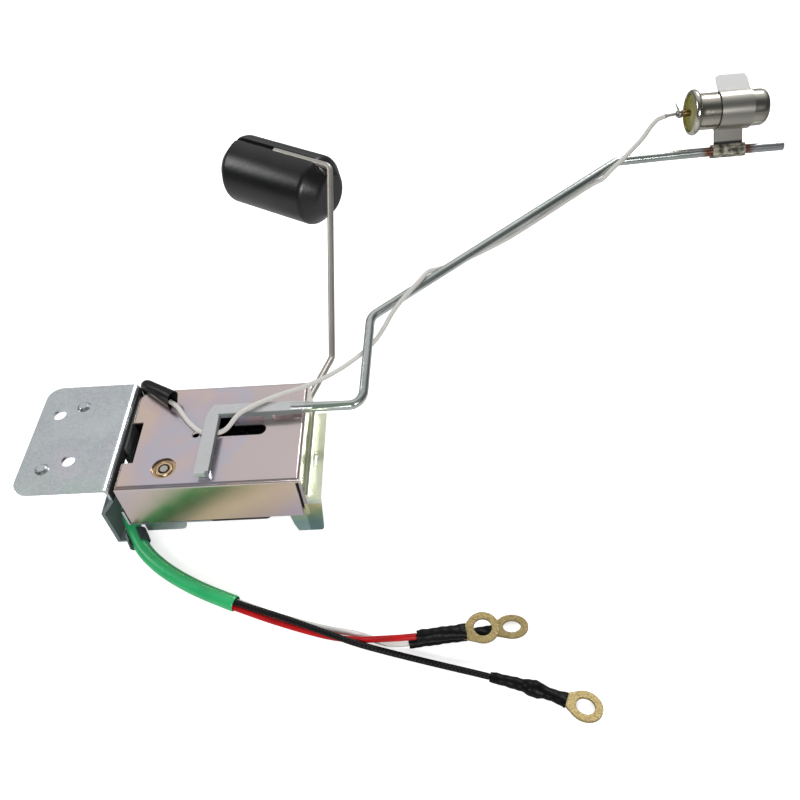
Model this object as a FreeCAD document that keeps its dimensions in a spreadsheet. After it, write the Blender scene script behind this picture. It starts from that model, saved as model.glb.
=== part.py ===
import FreeCAD, Part
import Sketcher
import math
import os

# Fuel level sender: a stamped bracket with a sheet cover, a swinging float arm with a
# wiper on a wound resistance inside, and a fixed rod that carries a low-level thermistor.
# Millimetres. X runs along the housing, Y away from its front wall, Z up out of its top.
# The origin is the middle of the two mounting screw holes, on the plate's seat.

os.makedirs("parts", exist_ok=True)
doc = FreeCAD.newDocument("fuel_level_sender")

# Driving sizes
SIZES = [
    # mounting plate, its flange and the base under the housing
    ("plate_gauge", 1.2), ("plate_left", -11.1), ("plate_right", 20.3), ("plate_front", -22.6),
    ("plate_depth", 45.4), ("plate_corner", 5.0), ("screw_offset_x", 4.3), ("screw_offset_y", 10.15),
    ("screw_hole", 2.25), ("boss_radius", 2.3), ("boss_height", 0.8), ("boss_offset_x", 3.4),
    ("boss_offset_y", 13.2), ("bend_radius", 1.0), ("joggle_top", -4.6), ("joggle_bottom", -11.5),
    ("joggle_offset", 5.3), ("tongue_depth", 18.6), ("floor_level", -28.1), ("base_top", -18.3),
    ("base_gauge", 0.8), ("base_right", 68.0), ("tray_wall_top", -1.5), ("base_front", -22.2),
    ("base_inset", 0.45), ("base_corner", 2.0), ("lip_left", 25.6), ("lip_right", 39.2),
    ("lip_drop", 3.6),
    # sheet cover
    ("cover_left", 21.7), ("cover_length", 58.5), ("cover_front", -22.35), ("cover_width", 42.0),
    ("cover_top", 1.2), ("cover_height", 19.0), ("cover_gauge", 0.8), ("cover_bend", 1.5),
    ("cover_corner", 5.0), ("end_wall_height", 10.5), ("end_lip_reach", 5.6), ("end_lip_rear", 13.6),
    ("end_lip_bend", 2.2), ("slit_width", 0.7), ("foot_inset", 5.8), ("foot_width", 9.5),
    ("foot_gap", 0.2), ("notch_front", -12.4), ("notch_rear", 4.6), ("notch_depth", 4.3),
    ("bush_window", 4.0), ("small_hole", 1.25), ("small_hole_x", 44.6), ("small_hole_y", -1.95),
    ("slot_x", 59.2), ("slot_y", -0.9), ("slot_length", 17.0), ("slot_width", 4.6),
    ("window_left", 50.4), ("window_length", 6.6), ("window_rear", 6.2), ("lip_slot_length", 4.6),
    # pivot, arm and float
    ("pivot_x", 36.5), ("pivot_y", -15.05), ("arm_radius", 1.25), ("running_gap", 0.05),
    ("fit_gap", 0.02), ("bush_outer", 3.0), ("bush_flange", 4.7), ("bush_flange_gauge", 1.0),
    ("bush_length", 5.0), ("bush_collar", 0.4), ("arm_low", -21.15), ("arm_top", 0.9),
    ("float_radius", 14.25), ("float_length", 52.0), ("float_bevel", 6.0), ("float_x", 63.0),
    ("float_y", 126.5), ("float_z", 14.2), ("float_yaw", -32.2), ("groove_seat", 13.2), ("arm_end_past_middle", 0.5),
    ("arm_elbow_x", 71.3), ("arm_elbow_y", 19.0), ("arm_knee_x", 83.5), ("arm_knee_y", 53.4),
    # wiper and wound resistance
    ("hub_radius", 4.0), ("hub_low", -14.4), ("hub_length", 7.4), ("wiper_angle", 30.0),
    ("blade_gauge", 0.3), ("blade_width", 3.0), ("blade_overhang", 1.6), ("blade_level", -9.4),
    ("contact_radius", 0.9), ("contact_gap", 0.3), ("swing_back", 15.0), ("swing_on", 60.0),
    ("card_share", 0.817), ("card_width", 7.0), ("card_gauge", 1.2), ("card_margin", 9.0),
    ("winding_wall", 0.35), ("winding_ridge", 0.18), ("winding_turns", 44), ("winding_margin", 4.0),
    ("frame_gauge", 1.6), ("frame_margin", 3.3), ("frame_share", 0.343), ("stop_share", 0.4575),
    ("stop_pin", 1.2),
    # thermistor rod
    ("rod_radius", 1.6), ("strip_width", 4.5), ("strip_gauge", 1.7), ("strip_lift", 1.7),
    ("nib_length", 3.0), ("strip_end_x", 50.1), ("strip_end_y", -20.6), ("strip_corner_x", 50.4),
    ("strip_corner_y", 5.5), ("strip_round_x", 82.0), ("strip_taper", 8.0), ("rod_bend", 5.0),
    ("rod_overlap", 6.0), ("nib_x", 66.6), ("nib_depth", 2.4), ("rod_knee_x", 99.4), ("rod_knee_y", 4.9),
    ("rod_rise_x", 102.6), ("rod_rise_y", 35.2), ("rod_rise_z", 14.8), ("rod_high_x", 193.6),
    ("rod_high_y", 89.6), ("rod_high_z", 34.8), ("tail_behind", 13.0), ("tail_ahead", 20.0),
    # thermistor and its clip
    ("tail_x", 233.4), ("tail_y", 91.4), ("tail_z", 35.2), ("tail_yaw", 1.93), ("can_radius", 6.25),
    ("can_length", 24.0), ("can_lip_radius", 7.9), ("can_lip", 2.6), ("can_neck", 0.5),
    ("can_round", 2.5), ("can_rise", 14.0), ("can_tilt", 56.0), ("can_start", -10.6),
    ("seal_depth", 1.6), ("seal_wall", 0.9), ("terminal_radius", 1.1), ("terminal_length", 3.2),
    ("clip_gauge", 0.6), ("band_start", -4.1), ("band_length", 11.3), ("clip_opening", 36.0),
    ("flag_length", 5.6), ("stem_gauge", 1.0), ("crimp_wall", 0.7), ("crimp_start", -5.6),
    ("crimp_length", 11.4),
    # lead, sleeves, wires, shrink sleeves and ring terminals
    ("route_unit", 1.0), ("lead_radius", 0.8), ("lead_socket", 2.0), ("lead_sleeve_radius", 2.3),
    ("lead_sleeve_gap", 3.75), ("cable_sleeve_radius", 2.5),
    ("sleeve_wall", 0.35), ("sleeve_socket", 3.0), ("wire_radius", 0.95), ("shrink_radius", 1.85),
    ("ring_gauge", 0.8), ("ring_outer", 4.85), ("ring_hole", 2.65),
    ("neck_width", 3.0), ("crimp_lead", 4.0),
    ("clamp_wall", 0.9), ("clamp_length", 4.6), ("clamp_gap", 0.1), ("solder_radius", 1.5),
]

sheet = doc.addObject("Spreadsheet::Sheet", "sizes")
for row, (alias, value) in enumerate(SIZES, start=1):
    sheet.set("A%d" % row, alias.replace("_", " "))
    sheet.set("B%d" % row, str(value))
    sheet.setAlias("B%d" % row, alias)
doc.recompute()


class Reader:
    """Reads a size from the sheet by its alias."""

    def __getattr__(self, alias):
        return float(getattr(sheet, alias))


S = Reader()
NODES = []


def vec(x, y, z):
    return FreeCAD.Vector(x, y, z)


def bind(obj, **expressions):
    """Bind properties to expressions in which a bare alias is a cell of the sheet."""
    for name, text in expressions.items():
        obj.setExpression(name.replace("__", "."), text)
    return obj


def place(obj, x="0", y="0", z="0", axis=None, angle=None):
    bind(obj, Placement__Base__x=x, Placement__Base__y=y, Placement__Base__z=z)
    if axis is not None:
        obj.Placement = FreeCAD.Placement(obj.Placement.Base, FreeCAD.Rotation(axis, 0))
        obj.setExpression("Placement.Rotation.Angle", angle)
    return obj


def part(kind, name, **expressions):
    """A Part object, labelled, with its sizes bound to the sheet."""
    obj = doc.addObject("Part::" + kind, name)
    obj.Label = name
    return bind(obj, **expressions)


def block(name, x0, x1, y0, y1, z0, z1):
    """A box between two corners, each side an expression."""
    obj = part("Box", name, Length="(%s) - (%s)" % (x1, x0), Width="(%s) - (%s)" % (y1, y0),
               Height="(%s) - (%s)" % (z1, z0))
    return place(obj, x0, y0, z0)


def post(name, radius, x, y, z0, z1):
    """An upright cylinder from z0 to z1."""
    return place(part("Cylinder", name, Radius=radius, Height="(%s) - (%s)" % (z1, z0)), x, y, z0)


def cut(name, base, *tools):
    obj = part("Cut", name)
    obj.Base = base
    obj.Tool = tools[0] if len(tools) == 1 else fuse(name + "_tools", *tools)
    return obj


def fuse(name, *shapes):
    obj = part("MultiFuse", name)
    obj.Shapes = list(shapes)
    obj.Refine = True
    return obj


def fillet(name, base, radius, wanted):
    """Round the edges of base for which wanted(edge) holds."""
    doc.recompute()
    obj = part("Fillet", name)
    obj.Base = base
    obj.Edges = [(i, radius, radius) for i, edge in enumerate(base.Shape.Edges, 1) if wanted(edge)]
    return obj


def feature(name, shape, at=None):
    """A shape worked out in code from the sheet's sizes."""
    obj = doc.addObject("Part::Feature", name)
    obj.Label = name
    obj.Shape = shape
    if at is not None:
        obj.Placement = at
    return obj


def node(obj):
    NODES.append(obj)
    return obj


def same(a, b):
    return abs(a - b) < 1e-4


def upright(edge):
    a, b = edge.Vertexes[0].Point, edge.Vertexes[-1].Point
    return same(a.x, b.x) and same(a.y, b.y) and not same(a.z, b.z)


# Bends and tubes
def rounded_path(points, radius_at, log=None):
    """Straight runs joined by tangent arcs, with radius_at(i, default) the radius at corner i."""
    points = [vec(*p) for p in points]
    edges = []
    start = points[0]
    radii = []
    for i in range(1, len(points) - 1):
        before, corner, after = points[i - 1], points[i], points[i + 1]
        u = (before - corner).normalize()
        v = (after - corner).normalize()
        half_turn = (math.pi - u.getAngle(v)) / 2
        shorter = min((before - corner).Length, (after - corner).Length)
        default = 0.45 * shorter / math.tan(half_turn)
        radius = radius_at(i, default)
        reach = radius * math.tan(half_turn)
        a = corner + u * reach
        b = corner + v * reach
        bisector = (u + v).normalize()
        middle = corner + bisector * (radius / math.cos(half_turn) - radius)
        edges.append(Part.LineSegment(start, a).toShape())
        edges.append(Part.Arc(a, middle, b).toShape())
        start = b
        radii.append(radius)
    edges.append(Part.LineSegment(start, points[-1]).toShape())
    if log and radii:
        print(log, "radii", [round(r, 1) for r in radii])
    return Part.Wire(edges)


def tube(points, radius, radius_at=None, log=None):
    """A round bar or tube along a rounded path, checked against section times length."""
    path = rounded_path(points, radius_at or (lambda i, default: default), log)
    first = vec(*points[0])
    circle = Part.Wire(Part.makeCircle(radius, first, vec(*points[1]) - first))
    solid = path.makePipeShell([circle], True, True)
    wanted = math.pi * radius ** 2 * path.Length
    if log:
        print(log, "length %.1f volume ratio %.4f" % (path.Length, solid.Volume / wanted))
    return solid


def free_tube(name, points, radius):
    return tube(points, radius, None, name)


def route(*points):
    """Points of a cord's way, given in steps of the route unit."""
    return [tuple(S.route_unit * value for value in point) for point in points]


def on_floor(radius, *points):
    """Points whose last number is the lift of a cord's underside above the floor."""
    return [(x, y, S.floor_level + radius + lift) for x, y, lift in route(*points)]


def bent_bar(name, points, radius, bend):
    return tube(points, radius, lambda i, default: min(bend, default), name)


def sheet_section(points, gauge, bend):
    """The closed section, in XZ, of a sheet folded along a line given at its middle."""
    points = [vec(x, 0, z) for x, z in points]
    sides = []
    for side in (-1, 1):
        shifted = []
        for i, point in enumerate(points):
            before = points[max(i - 1, 0)]
            after = points[min(i + 1, len(points) - 1)]
            u = (point - before) if i else (after - point)
            v = (after - point) if i < len(points) - 1 else (point - before)
            u.normalize()
            v.normalize()
            normal_u = vec(-u.z, 0, u.x)
            normal_v = vec(-v.z, 0, v.x)
            mitre = (normal_u + normal_v).normalize()
            shifted.append(point + mitre * (side * gauge / 2 / mitre.dot(normal_u)))
        turns = []
        for i in range(1, len(points) - 1):
            cross = (points[i] - points[i - 1]).cross(points[i + 1] - points[i]).y
            inner = (cross > 0) == (side < 0)
            turns.append(bend if inner else bend + gauge)
        sides.append(rounded_path([tuple(p) for p in shifted], lambda i, default: min(turns[i - 1], default)))
    lower, upper = sides
    ends = [Part.LineSegment(lower.OrderedVertexes[k].Point, upper.OrderedVertexes[k].Point).toShape()
            for k in (0, -1)]
    return Part.Face(Part.Wire(Part.__sortEdges__(lower.Edges + upper.Edges + ends)))


def folded_sheet(name, points, gauge, bend, y0, y1):
    face = sheet_section(points, gauge, bend)
    place = FreeCAD.Placement(vec(0, y0, 0), FreeCAD.Rotation())
    return feature(name, face.extrude(vec(0, y1 - y0, 0)), place)


def pivot_placement(angle=0.0):
    return FreeCAD.Placement(vec(S.pivot_x, S.pivot_y, 0), FreeCAD.Rotation(vec(0, 0, 1), angle))


def ring_sector(inner, outer, z0, z1, start, sweep):
    """A flat arc of rectangular section about the local Z axis."""
    section = Part.makePlane(outer - inner, z1 - z0, vec(inner, 0, z0), vec(0, -1, 0), vec(1, 0, 0))
    solid = section.revolve(vec(0, 0, 0), vec(0, 0, 1), sweep)
    solid.rotate(vec(0, 0, 0), vec(0, 0, 1), start)
    return solid


# Sketches
def profile(body, name, plane, points):
    """A closed outline of points, each coordinate bound to an expression."""
    sketch = body.newObject("Sketcher::SketchObject", name)
    role = {"XY": "XY_Plane", "XZ": "XZ_Plane", "YZ": "YZ_Plane"}[plane]
    sketch.AttachmentSupport = [(o, "") for o in body.Origin.OriginFeatures if o.Role == role]
    sketch.MapMode = "FlatFace"
    values = [(float(sheet.evalExpression(x)), float(sheet.evalExpression(y))) for x, y in points]
    count = len(points)
    for i in range(count):
        a, b = values[i], values[(i + 1) % count]
        sketch.addGeometry(Part.LineSegment(vec(a[0], a[1], 0), vec(b[0], b[1], 0)))
    for i in range(count):
        sketch.addConstraint(Sketcher.Constraint("Coincident", i, 2, (i + 1) % count, 1))
    for i, (x, y) in enumerate(points):
        for kind, text, value, axis in (("DistanceX", x, values[i][0], -2),
                                        ("DistanceY", y, values[i][1], -1)):
            if text == "0":
                sketch.addConstraint(Sketcher.Constraint("PointOnObject", i, 1, axis))
                continue
            index = sketch.addConstraint(Sketcher.Constraint(kind, -1, 1, i, 1, value))
            label = "%s%d" % (kind[-1].lower(), i)
            sketch.renameConstraint(index, label)
            sketch.setExpression("Constraints." + label, text)
    return sketch


def turned(name, points):
    """A body of revolution about its own Z axis, from (radius, height) pairs."""
    body = doc.addObject("PartDesign::Body", name)
    body.Label = name
    sketch = profile(body, name + "_section", "XZ", points)
    spin = body.newObject("PartDesign::Revolution", name + "_turn")
    spin.Profile = sketch
    spin.ReferenceAxis = (sketch, ["V_Axis"])
    spin.Angle = 360
    sketch.Visibility = False
    return body


def s(text):
    """An expression in which each word is an alias of the sheet."""
    words = []
    for word in text.replace("(", " ( ").replace(")", " ) ").split():
        words.append("<<sizes>>." + word if word[0].isalpha() and "_" in word else word)
    return " ".join(words)


# Mounting bracket: plate, folded flange with its joggled tongue, and the cable clamp
def mounting_bracket():
    plate_mid = S.plate_gauge / 2
    flange_mid = S.plate_right - S.plate_gauge / 2
    tongue_mid = flange_mid - S.joggle_offset
    plate_rear = S.plate_front + S.plate_depth
    tongue_rear = S.plate_front + S.tongue_depth
    tongue_line = [(S.plate_left, plate_mid), (flange_mid, plate_mid), (flange_mid, S.joggle_top),
                   (tongue_mid, S.joggle_bottom), (tongue_mid, S.floor_level)]
    tongue = folded_sheet("bracket_tongue", tongue_line, S.plate_gauge, S.bend_radius, S.plate_front,
                          tongue_rear)
    web_line = [(S.plate_left, plate_mid), (flange_mid, plate_mid), (flange_mid, S.joggle_bottom)]
    web = folded_sheet("bracket_web", web_line, S.plate_gauge, S.bend_radius, tongue_rear, plate_rear)
    mass = fuse("bracket_blank", tongue, web)
    corners = fillet("bracket_corners", mass, S.plate_corner,
                     lambda e: upright(e) and same(e.Vertexes[0].X, S.plate_left))
    holes = []
    bosses = []
    for number, sign in enumerate((-1, 1), 1):
        holes.append(post("screw_hole_%d" % number, s("screw_hole"), s("%d * screw_offset_x" % -sign),
                          s("%d * screw_offset_y" % sign), s("0 - plate_gauge"), s("2 * plate_gauge")))
        boss = part("Cone", "boss_%d" % number, Radius1=s("boss_radius"), Radius2=s("boss_radius * 0.62"),
                    Height=s("boss_height"))
        bosses.append(place(boss, s("%d * boss_offset_x" % sign), s("%d * boss_offset_y" % sign),
                            s("plate_gauge")))
    drilled = cut("bracket_drilled", corners, *holes)
    return node(fuse("mounting_bracket", drilled, cable_clamp(), *bosses))


# Base tray under the housing: floor, left wall against the flange, and the turned-down front tab
def base_tray():
    floor_low = "base_top - base_gauge"
    rear = "cover_front + cover_width - base_inset"
    floor = block("tray_floor", s("plate_right"), s("base_right"), s("base_front"), s(rear),
                  s(floor_low), s("base_top"))
    chamfered = fillet("tray_corners", floor, S.base_corner,
                       lambda e: upright(e) and same(e.Vertexes[0].X, S.base_right))
    wall = block("tray_wall", s("plate_right"), s("plate_right + base_gauge"), s("base_front"), s(rear),
                 s(floor_low), s("tray_wall_top"))
    wall_trim = block("tray_wall_trim", s("plate_right - 1"), s("plate_right + base_gauge + 1"),
                      s("base_front - 1"), s("plate_front + tongue_depth"), s("joggle_bottom"),
                      s("tray_wall_top + 1"))
    lip = block("tray_lip", s("lip_left"), s("lip_right"), s("base_front"), s("base_front + base_gauge"),
                s("base_top - base_gauge - lip_drop"), s("base_top"))
    hole = post("lower_bush_hole", s("bush_outer + fit_gap"), s("pivot_x"), s("pivot_y"),
                s("base_top - 3 * base_gauge"), s("base_top + base_gauge"))
    blank = fuse("tray_blank", chamfered, cut("tray_wall_cut", wall, wall_trim), lip)
    rounded = fillet("tray_rounded", blank, S.lip_drop * 0.6,
                     lambda e: same(e.Vertexes[0].X, S.lip_right) and same(e.Vertexes[-1].X, S.lip_right)
                     and all(same(v.Z, S.base_top - S.base_gauge - S.lip_drop) for v in e.Vertexes))
    return node(cut("base_tray", rounded, hole))


def sleeve_points():
    """The green sleeve's route, from the gap beside the tongue to its mouth on the floor."""
    beside = S.plate_right - S.joggle_offset / 2
    down = [(beside, y, z) for x, y, z in route((0, -6.0, -14.0), (0, -13.6, -20.3))]
    lying = on_floor(S.cable_sleeve_radius, (20.0, -20.3, 1.9), (24.0, -27.5, 0.2), (31.0, -34.2, 0.0),
                     (39.1, -39.7, 0.0), (48.3, -44.7, 0.0), (58.1, -48.9, 0.0))
    return down + lying


def cable_clamp():
    """A strip curled round the sleeve, joined to the tongue's foot."""
    route = [vec(*p) for p in sleeve_points()]
    along = (route[3] - route[2]).normalize()
    middle = (route[2] + route[3]) / 2
    inner = S.cable_sleeve_radius + S.clamp_gap
    outer = inner + S.clamp_wall
    lift = max(0.0, S.floor_level + outer - middle.z)
    start = middle - along * (S.clamp_length / 2) + vec(0, 0, lift)
    ring = Part.makeCylinder(outer, S.clamp_length, start, along)
    bore = Part.makeCylinder(inner, S.clamp_length, start, along)
    gap = Part.makeBox(outer, 2 * S.clamp_length + outer, 2 * outer)
    gap.translate(vec(-outer * 0.25, -S.clamp_length, 0))
    gap.rotate(vec(0, 0, 0), vec(0, 0, 1), math.degrees(math.atan2(along.y, along.x)) - 90)
    gap.translate(middle + vec(0, 0, lift + inner * 0.45))
    tongue_outer = S.plate_right - S.plate_gauge - S.joggle_offset
    link = Part.makeBox(middle.x - tongue_outer, S.clamp_length, S.clamp_wall)
    link.translate(vec(tongue_outer, S.plate_front, S.floor_level))
    strip = ring.fuse(link).cut(bore).cut(gap)
    return feature("cable_clamp_strip", max(strip.Solids, key=lambda solid: solid.Volume))


# Sheet cover, open below, with the end lip and foot
def housing_cover():
    top, gauge = "cover_top", "cover_gauge"
    right, rear = "cover_left + cover_length", "cover_front + cover_width"
    outer = block("cover_outer", s("cover_left"), s(right), s("cover_front"), s(rear),
                  s("base_top"), s(top))
    inner = block("cover_inner", s("cover_left + cover_gauge"), s(right + " - cover_gauge"),
                  s("cover_front + cover_gauge"), s(rear + " - cover_gauge"),
                  s("cover_top - cover_height - 2"), s("cover_top - cover_gauge"))

    def rear_corner(x):
        return lambda e: upright(e) and same(e.Vertexes[0].X, x) and e.Vertexes[0].Y > 0

    outer_corner = fillet("cover_outer_corner", outer, S.cover_corner, rear_corner(S.cover_left))
    inner_corner = fillet("cover_inner_corner", inner, S.cover_corner - S.cover_gauge,
                          rear_corner(S.cover_left + S.cover_gauge))
    outer_round = fillet("cover_outer_bends", outer_corner, S.cover_bend,
                         lambda e: all(same(v.Z, S.cover_top) for v in e.Vertexes))
    inner_round = fillet("cover_inner_bends", inner_corner, S.cover_bend - S.cover_gauge,
                         lambda e: all(same(v.Z, S.cover_top - S.cover_gauge) for v in e.Vertexes))
    cutters = [inner_round]
    end = "cover_left + cover_length"
    low = "cover_top - cover_height - 3"
    cutters.append(block("end_wall_trim", s(end + " - cover_gauge - cover_bend"), s(end + " + 1"),
                         s("cover_front + cover_gauge + foot_gap"),
                         s(rear + " - cover_gauge - slit_width"), s(low),
                         s("cover_top - end_wall_height")))
    cutters.append(block("corner_slit", s(end + " - cover_gauge - slit_width"), s(end + " + 1"),
                         s("cover_front - 1"), s("cover_front + cover_gauge + foot_gap"), s(low),
                         s("cover_top - cover_bend")))
    cutters.append(block("front_wall_trim", s("cover_left - 1"), s(end + " + 1"), s("cover_front - 1"),
                         s("cover_front + cover_corner"), s(low), s("cover_top - cover_height")))
    cutters.append(block("edge_notch", s("cover_left - 1"), s("cover_left + notch_depth"), s("notch_front"),
                         s("notch_rear"), s("cover_top - 6"), s("cover_top + 1")))
    cutters.append(post("bush_window_hole", s("bush_window"), s("pivot_x"), s("pivot_y"),
                        s("cover_top - 3"), s("cover_top + 1")))
    cutters.append(post("small_window_hole", s("small_hole"), s("small_hole_x"), s("small_hole_y"),
                        s("cover_top - 3"), s("cover_top + 1")))
    cutters.append(block("slot_middle", s("slot_x - slot_length / 2 + slot_width / 2"),
                         s("slot_x + slot_length / 2 - slot_width / 2"), s("slot_y - slot_width / 2"),
                         s("slot_y + slot_width / 2"), s("cover_top - 3"), s("cover_top + 1")))
    for sign in (-1, 1):
        cutters.append(post("slot_end_%d" % (sign + 2), s("slot_width / 2"),
                            s("slot_x + %d * (slot_length / 2 - slot_width / 2)" % sign), s("slot_y"),
                            s("cover_top - 3"), s("cover_top + 1")))
    cutters.append(block("slot_window", s("window_left"), s("window_left + window_length"),
                         s("slot_y - slot_width / 2"), s("window_rear"), s("cover_top - 3"),
                         s("cover_top + 1")))
    shell = cut("cover_shell", outer_round, *cutters)
    lip_line_x = S.cover_left + S.cover_length - S.cover_gauge / 2
    lip_line_z = S.cover_top - S.end_wall_height
    lip_points = [(lip_line_x, S.cover_top - S.cover_bend - S.end_lip_bend), (lip_line_x, lip_line_z),
                  (lip_line_x + S.end_lip_reach, lip_line_z)]
    foot_front = S.cover_front + S.cover_gauge + S.foot_gap
    lip = folded_sheet("end_lip", lip_points, S.cover_gauge, S.end_lip_bend, foot_front, S.end_lip_rear)
    foot_back = foot_front + S.cover_gauge
    step = S.foot_width / 5
    foot_left = S.cover_left + S.cover_length - S.foot_inset
    foot_right = foot_left + S.foot_width
    outline = [(foot_left - step / 2, S.cover_top - S.cover_height + step),
               (foot_left, S.floor_level + step * 2),
               (foot_left + step / 2, S.floor_level), (foot_right - step / 3, S.floor_level),
               (foot_right, S.floor_level + step / 2),
               (lip_line_x + S.end_lip_reach, lip_line_z + S.cover_gauge / 2),
               (lip_line_x - S.cover_gauge / 2, lip_line_z + S.cover_gauge / 2)]
    outline.append((lip_line_x - S.cover_gauge / 2, S.cover_top - S.cover_height + step))
    face = Part.Face(Part.makePolygon([vec(x, foot_front, z) for x, z in outline + outline[:1]]))
    foot = feature("foot_tab", face.extrude(vec(0, foot_back - foot_front, 0)))
    slot_z = lip_line_z + S.cover_gauge / 2
    groove = block("lip_slot", str(lip_line_x + S.end_lip_bend * 1.2),
                   str(lip_line_x + S.end_lip_bend * 1.2 + 0.9),
                   "-9", s("-9 + lip_slot_length"), str(slot_z - 2), str(slot_z + 2))
    lip_cut = cut("end_lip_slotted", lip, groove)
    return node(fuse("housing_cover", shell, lip_cut, foot))


# Bushes that carry the pivot leg
def pivot_bushes():
    bore = "arm_radius + running_gap"
    upper = turned("pivot_bush", [
        (s(bore), s("0 - bush_length")), (s("bush_outer"), s("0 - bush_length")),
        (s("bush_outer"), s("0 - bush_flange_gauge")), (s("bush_flange"), s("0 - bush_flange_gauge")),
        (s("bush_flange"), "0"), (s("bush_flange * 0.6"), "0"), (s("bush_flange * 0.54"), s("bush_collar")),
        (s(bore + " + 0.3"), s("bush_collar")), (s(bore), s("bush_collar - 0.3"))])
    place(upper, s("pivot_x"), s("pivot_y"), s("cover_top - cover_gauge"))
    lower = turned("lower_bush", [
        (s(bore), s("0 - base_gauge")), (s("bush_outer"), s("0 - base_gauge")), (s("bush_outer"), "0"),
        (s("bush_flange - 0.7"), "0"), (s("bush_flange - 0.7"), s("bush_flange_gauge")),
        (s(bore), s("bush_flange_gauge"))])
    place(lower, s("pivot_x"), s("pivot_y"), s("base_top"))
    node(upper)
    node(lower)


# Float arm: one wire from the pivot leg to the float's groove
def float_direction():
    yaw = math.radians(S.float_yaw)
    return vec(math.cos(yaw), math.sin(yaw), 0)


def arm_points():
    along = float_direction()
    centre = vec(S.float_x, S.float_y, S.float_z + S.groove_seat)
    outer = centre + along * (S.float_length / 2 + S.arm_radius + 0.25)
    inner = centre - along * S.arm_end_past_middle
    return [(S.pivot_x, S.pivot_y, S.arm_top), (S.pivot_x, S.pivot_y, S.arm_low),
            (S.arm_elbow_x, S.arm_elbow_y, S.arm_low), (S.arm_knee_x, S.arm_knee_y, S.arm_low),
            tuple(outer), tuple(inner)]


def float_arm():
    """The pivot leg's corner is bent tighter, so that the leg is straight all through its lower bush."""
    def bend(i, default):
        return min((1.6 if i == 1 else 2.2) * S.arm_radius, default)

    return node(feature("float_arm", tube(arm_points(), S.arm_radius, bend, "float_arm")))


def arm_float():
    half = "float_length / 2"
    body = turned("float", [
        ("0", s("0 - " + half)), (s("float_radius - float_bevel"), s("0 - " + half)),
        (s("float_radius"), s("0 - " + half + " + float_bevel")),
        (s("float_radius"), s(half + " - float_bevel")),
        (s("float_radius - float_bevel"), s(half)), ("0", s(half))])
    doc.recompute()
    groove = body.newObject("Sketcher::SketchObject", "float_groove_section")
    groove.AttachmentSupport = [(o, "") for o in body.Origin.OriginFeatures if o.Role == "XY_Plane"]
    groove.MapMode = "FlatFace"
    seat = S.groove_seat
    wide = S.arm_radius + S.running_gap
    top = S.float_radius + 2
    groove.addGeometry(Part.LineSegment(vec(-wide, seat, 0), vec(-wide, top, 0)))
    groove.addGeometry(Part.LineSegment(vec(-wide, top, 0), vec(wide, top, 0)))
    groove.addGeometry(Part.LineSegment(vec(wide, top, 0), vec(wide, seat, 0)))
    rod_side = Part.Circle(vec(0, seat, 0), vec(0, 0, 1), wide)
    groove.addGeometry(Part.ArcOfCircle(rod_side, math.pi, 2 * math.pi))
    groove.addConstraint(Sketcher.Constraint("Coincident", 0, 2, 1, 1))
    groove.addConstraint(Sketcher.Constraint("Coincident", 1, 2, 2, 1))
    groove.addConstraint(Sketcher.Constraint("Coincident", 2, 2, 3, 2))
    groove.addConstraint(Sketcher.Constraint("Coincident", 0, 1, 3, 1))
    groove.addConstraint(Sketcher.Constraint("Vertical", 0))
    groove.addConstraint(Sketcher.Constraint("Vertical", 2))
    groove.addConstraint(Sketcher.Constraint("Horizontal", 1))
    groove.addConstraint(Sketcher.Constraint("PointOnObject", 3, 3, -2))
    for index, kind, first, second, value, text in (
            (0, "Radius", None, None, wide, "arm_radius + running_gap"),
            (1, "DistanceY", (-1, 1), (3, 3), seat, "groove_seat"),
            (2, "DistanceY", (-1, 1), (1, 1), top, "float_radius + 2"),
            (3, "DistanceY", (3, 3), (3, 1), 0, None)):
        if kind == "Radius":
            number = groove.addConstraint(Sketcher.Constraint("Radius", 3, value))
        elif text is None:
            groove.addConstraint(Sketcher.Constraint("Horizontal", 3, 1, 3, 3))
            continue
        else:
            number = groove.addConstraint(Sketcher.Constraint(kind, *first, *second, value))
        label = "groove%d" % index
        groove.renameConstraint(number, label)
        groove.setExpression("Constraints." + label, s(text))
    pocket = body.newObject("PartDesign::Pocket", "float_groove")
    pocket.Profile = groove
    pocket.Type = 0
    pocket.Midplane = True
    pocket.setExpression("Length", s("float_length + 4"))
    body.Tip = pocket
    along = float_direction()
    spin = FreeCAD.Rotation(vec(-along.y, along.x, 0), vec(0, 0, 1), along, "ZXY")
    body.Placement = FreeCAD.Placement(vec(S.float_x, S.float_y, S.float_z), spin)
    return node(body)


# Wiper on the pivot leg
def element_radius(share=1.0):
    """Radius about the pivot, as a share of the room between the pivot and the cover's rear wall."""
    return share * (S.cover_front + S.cover_width - S.cover_gauge - S.frame_margin - S.pivot_y)


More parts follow.
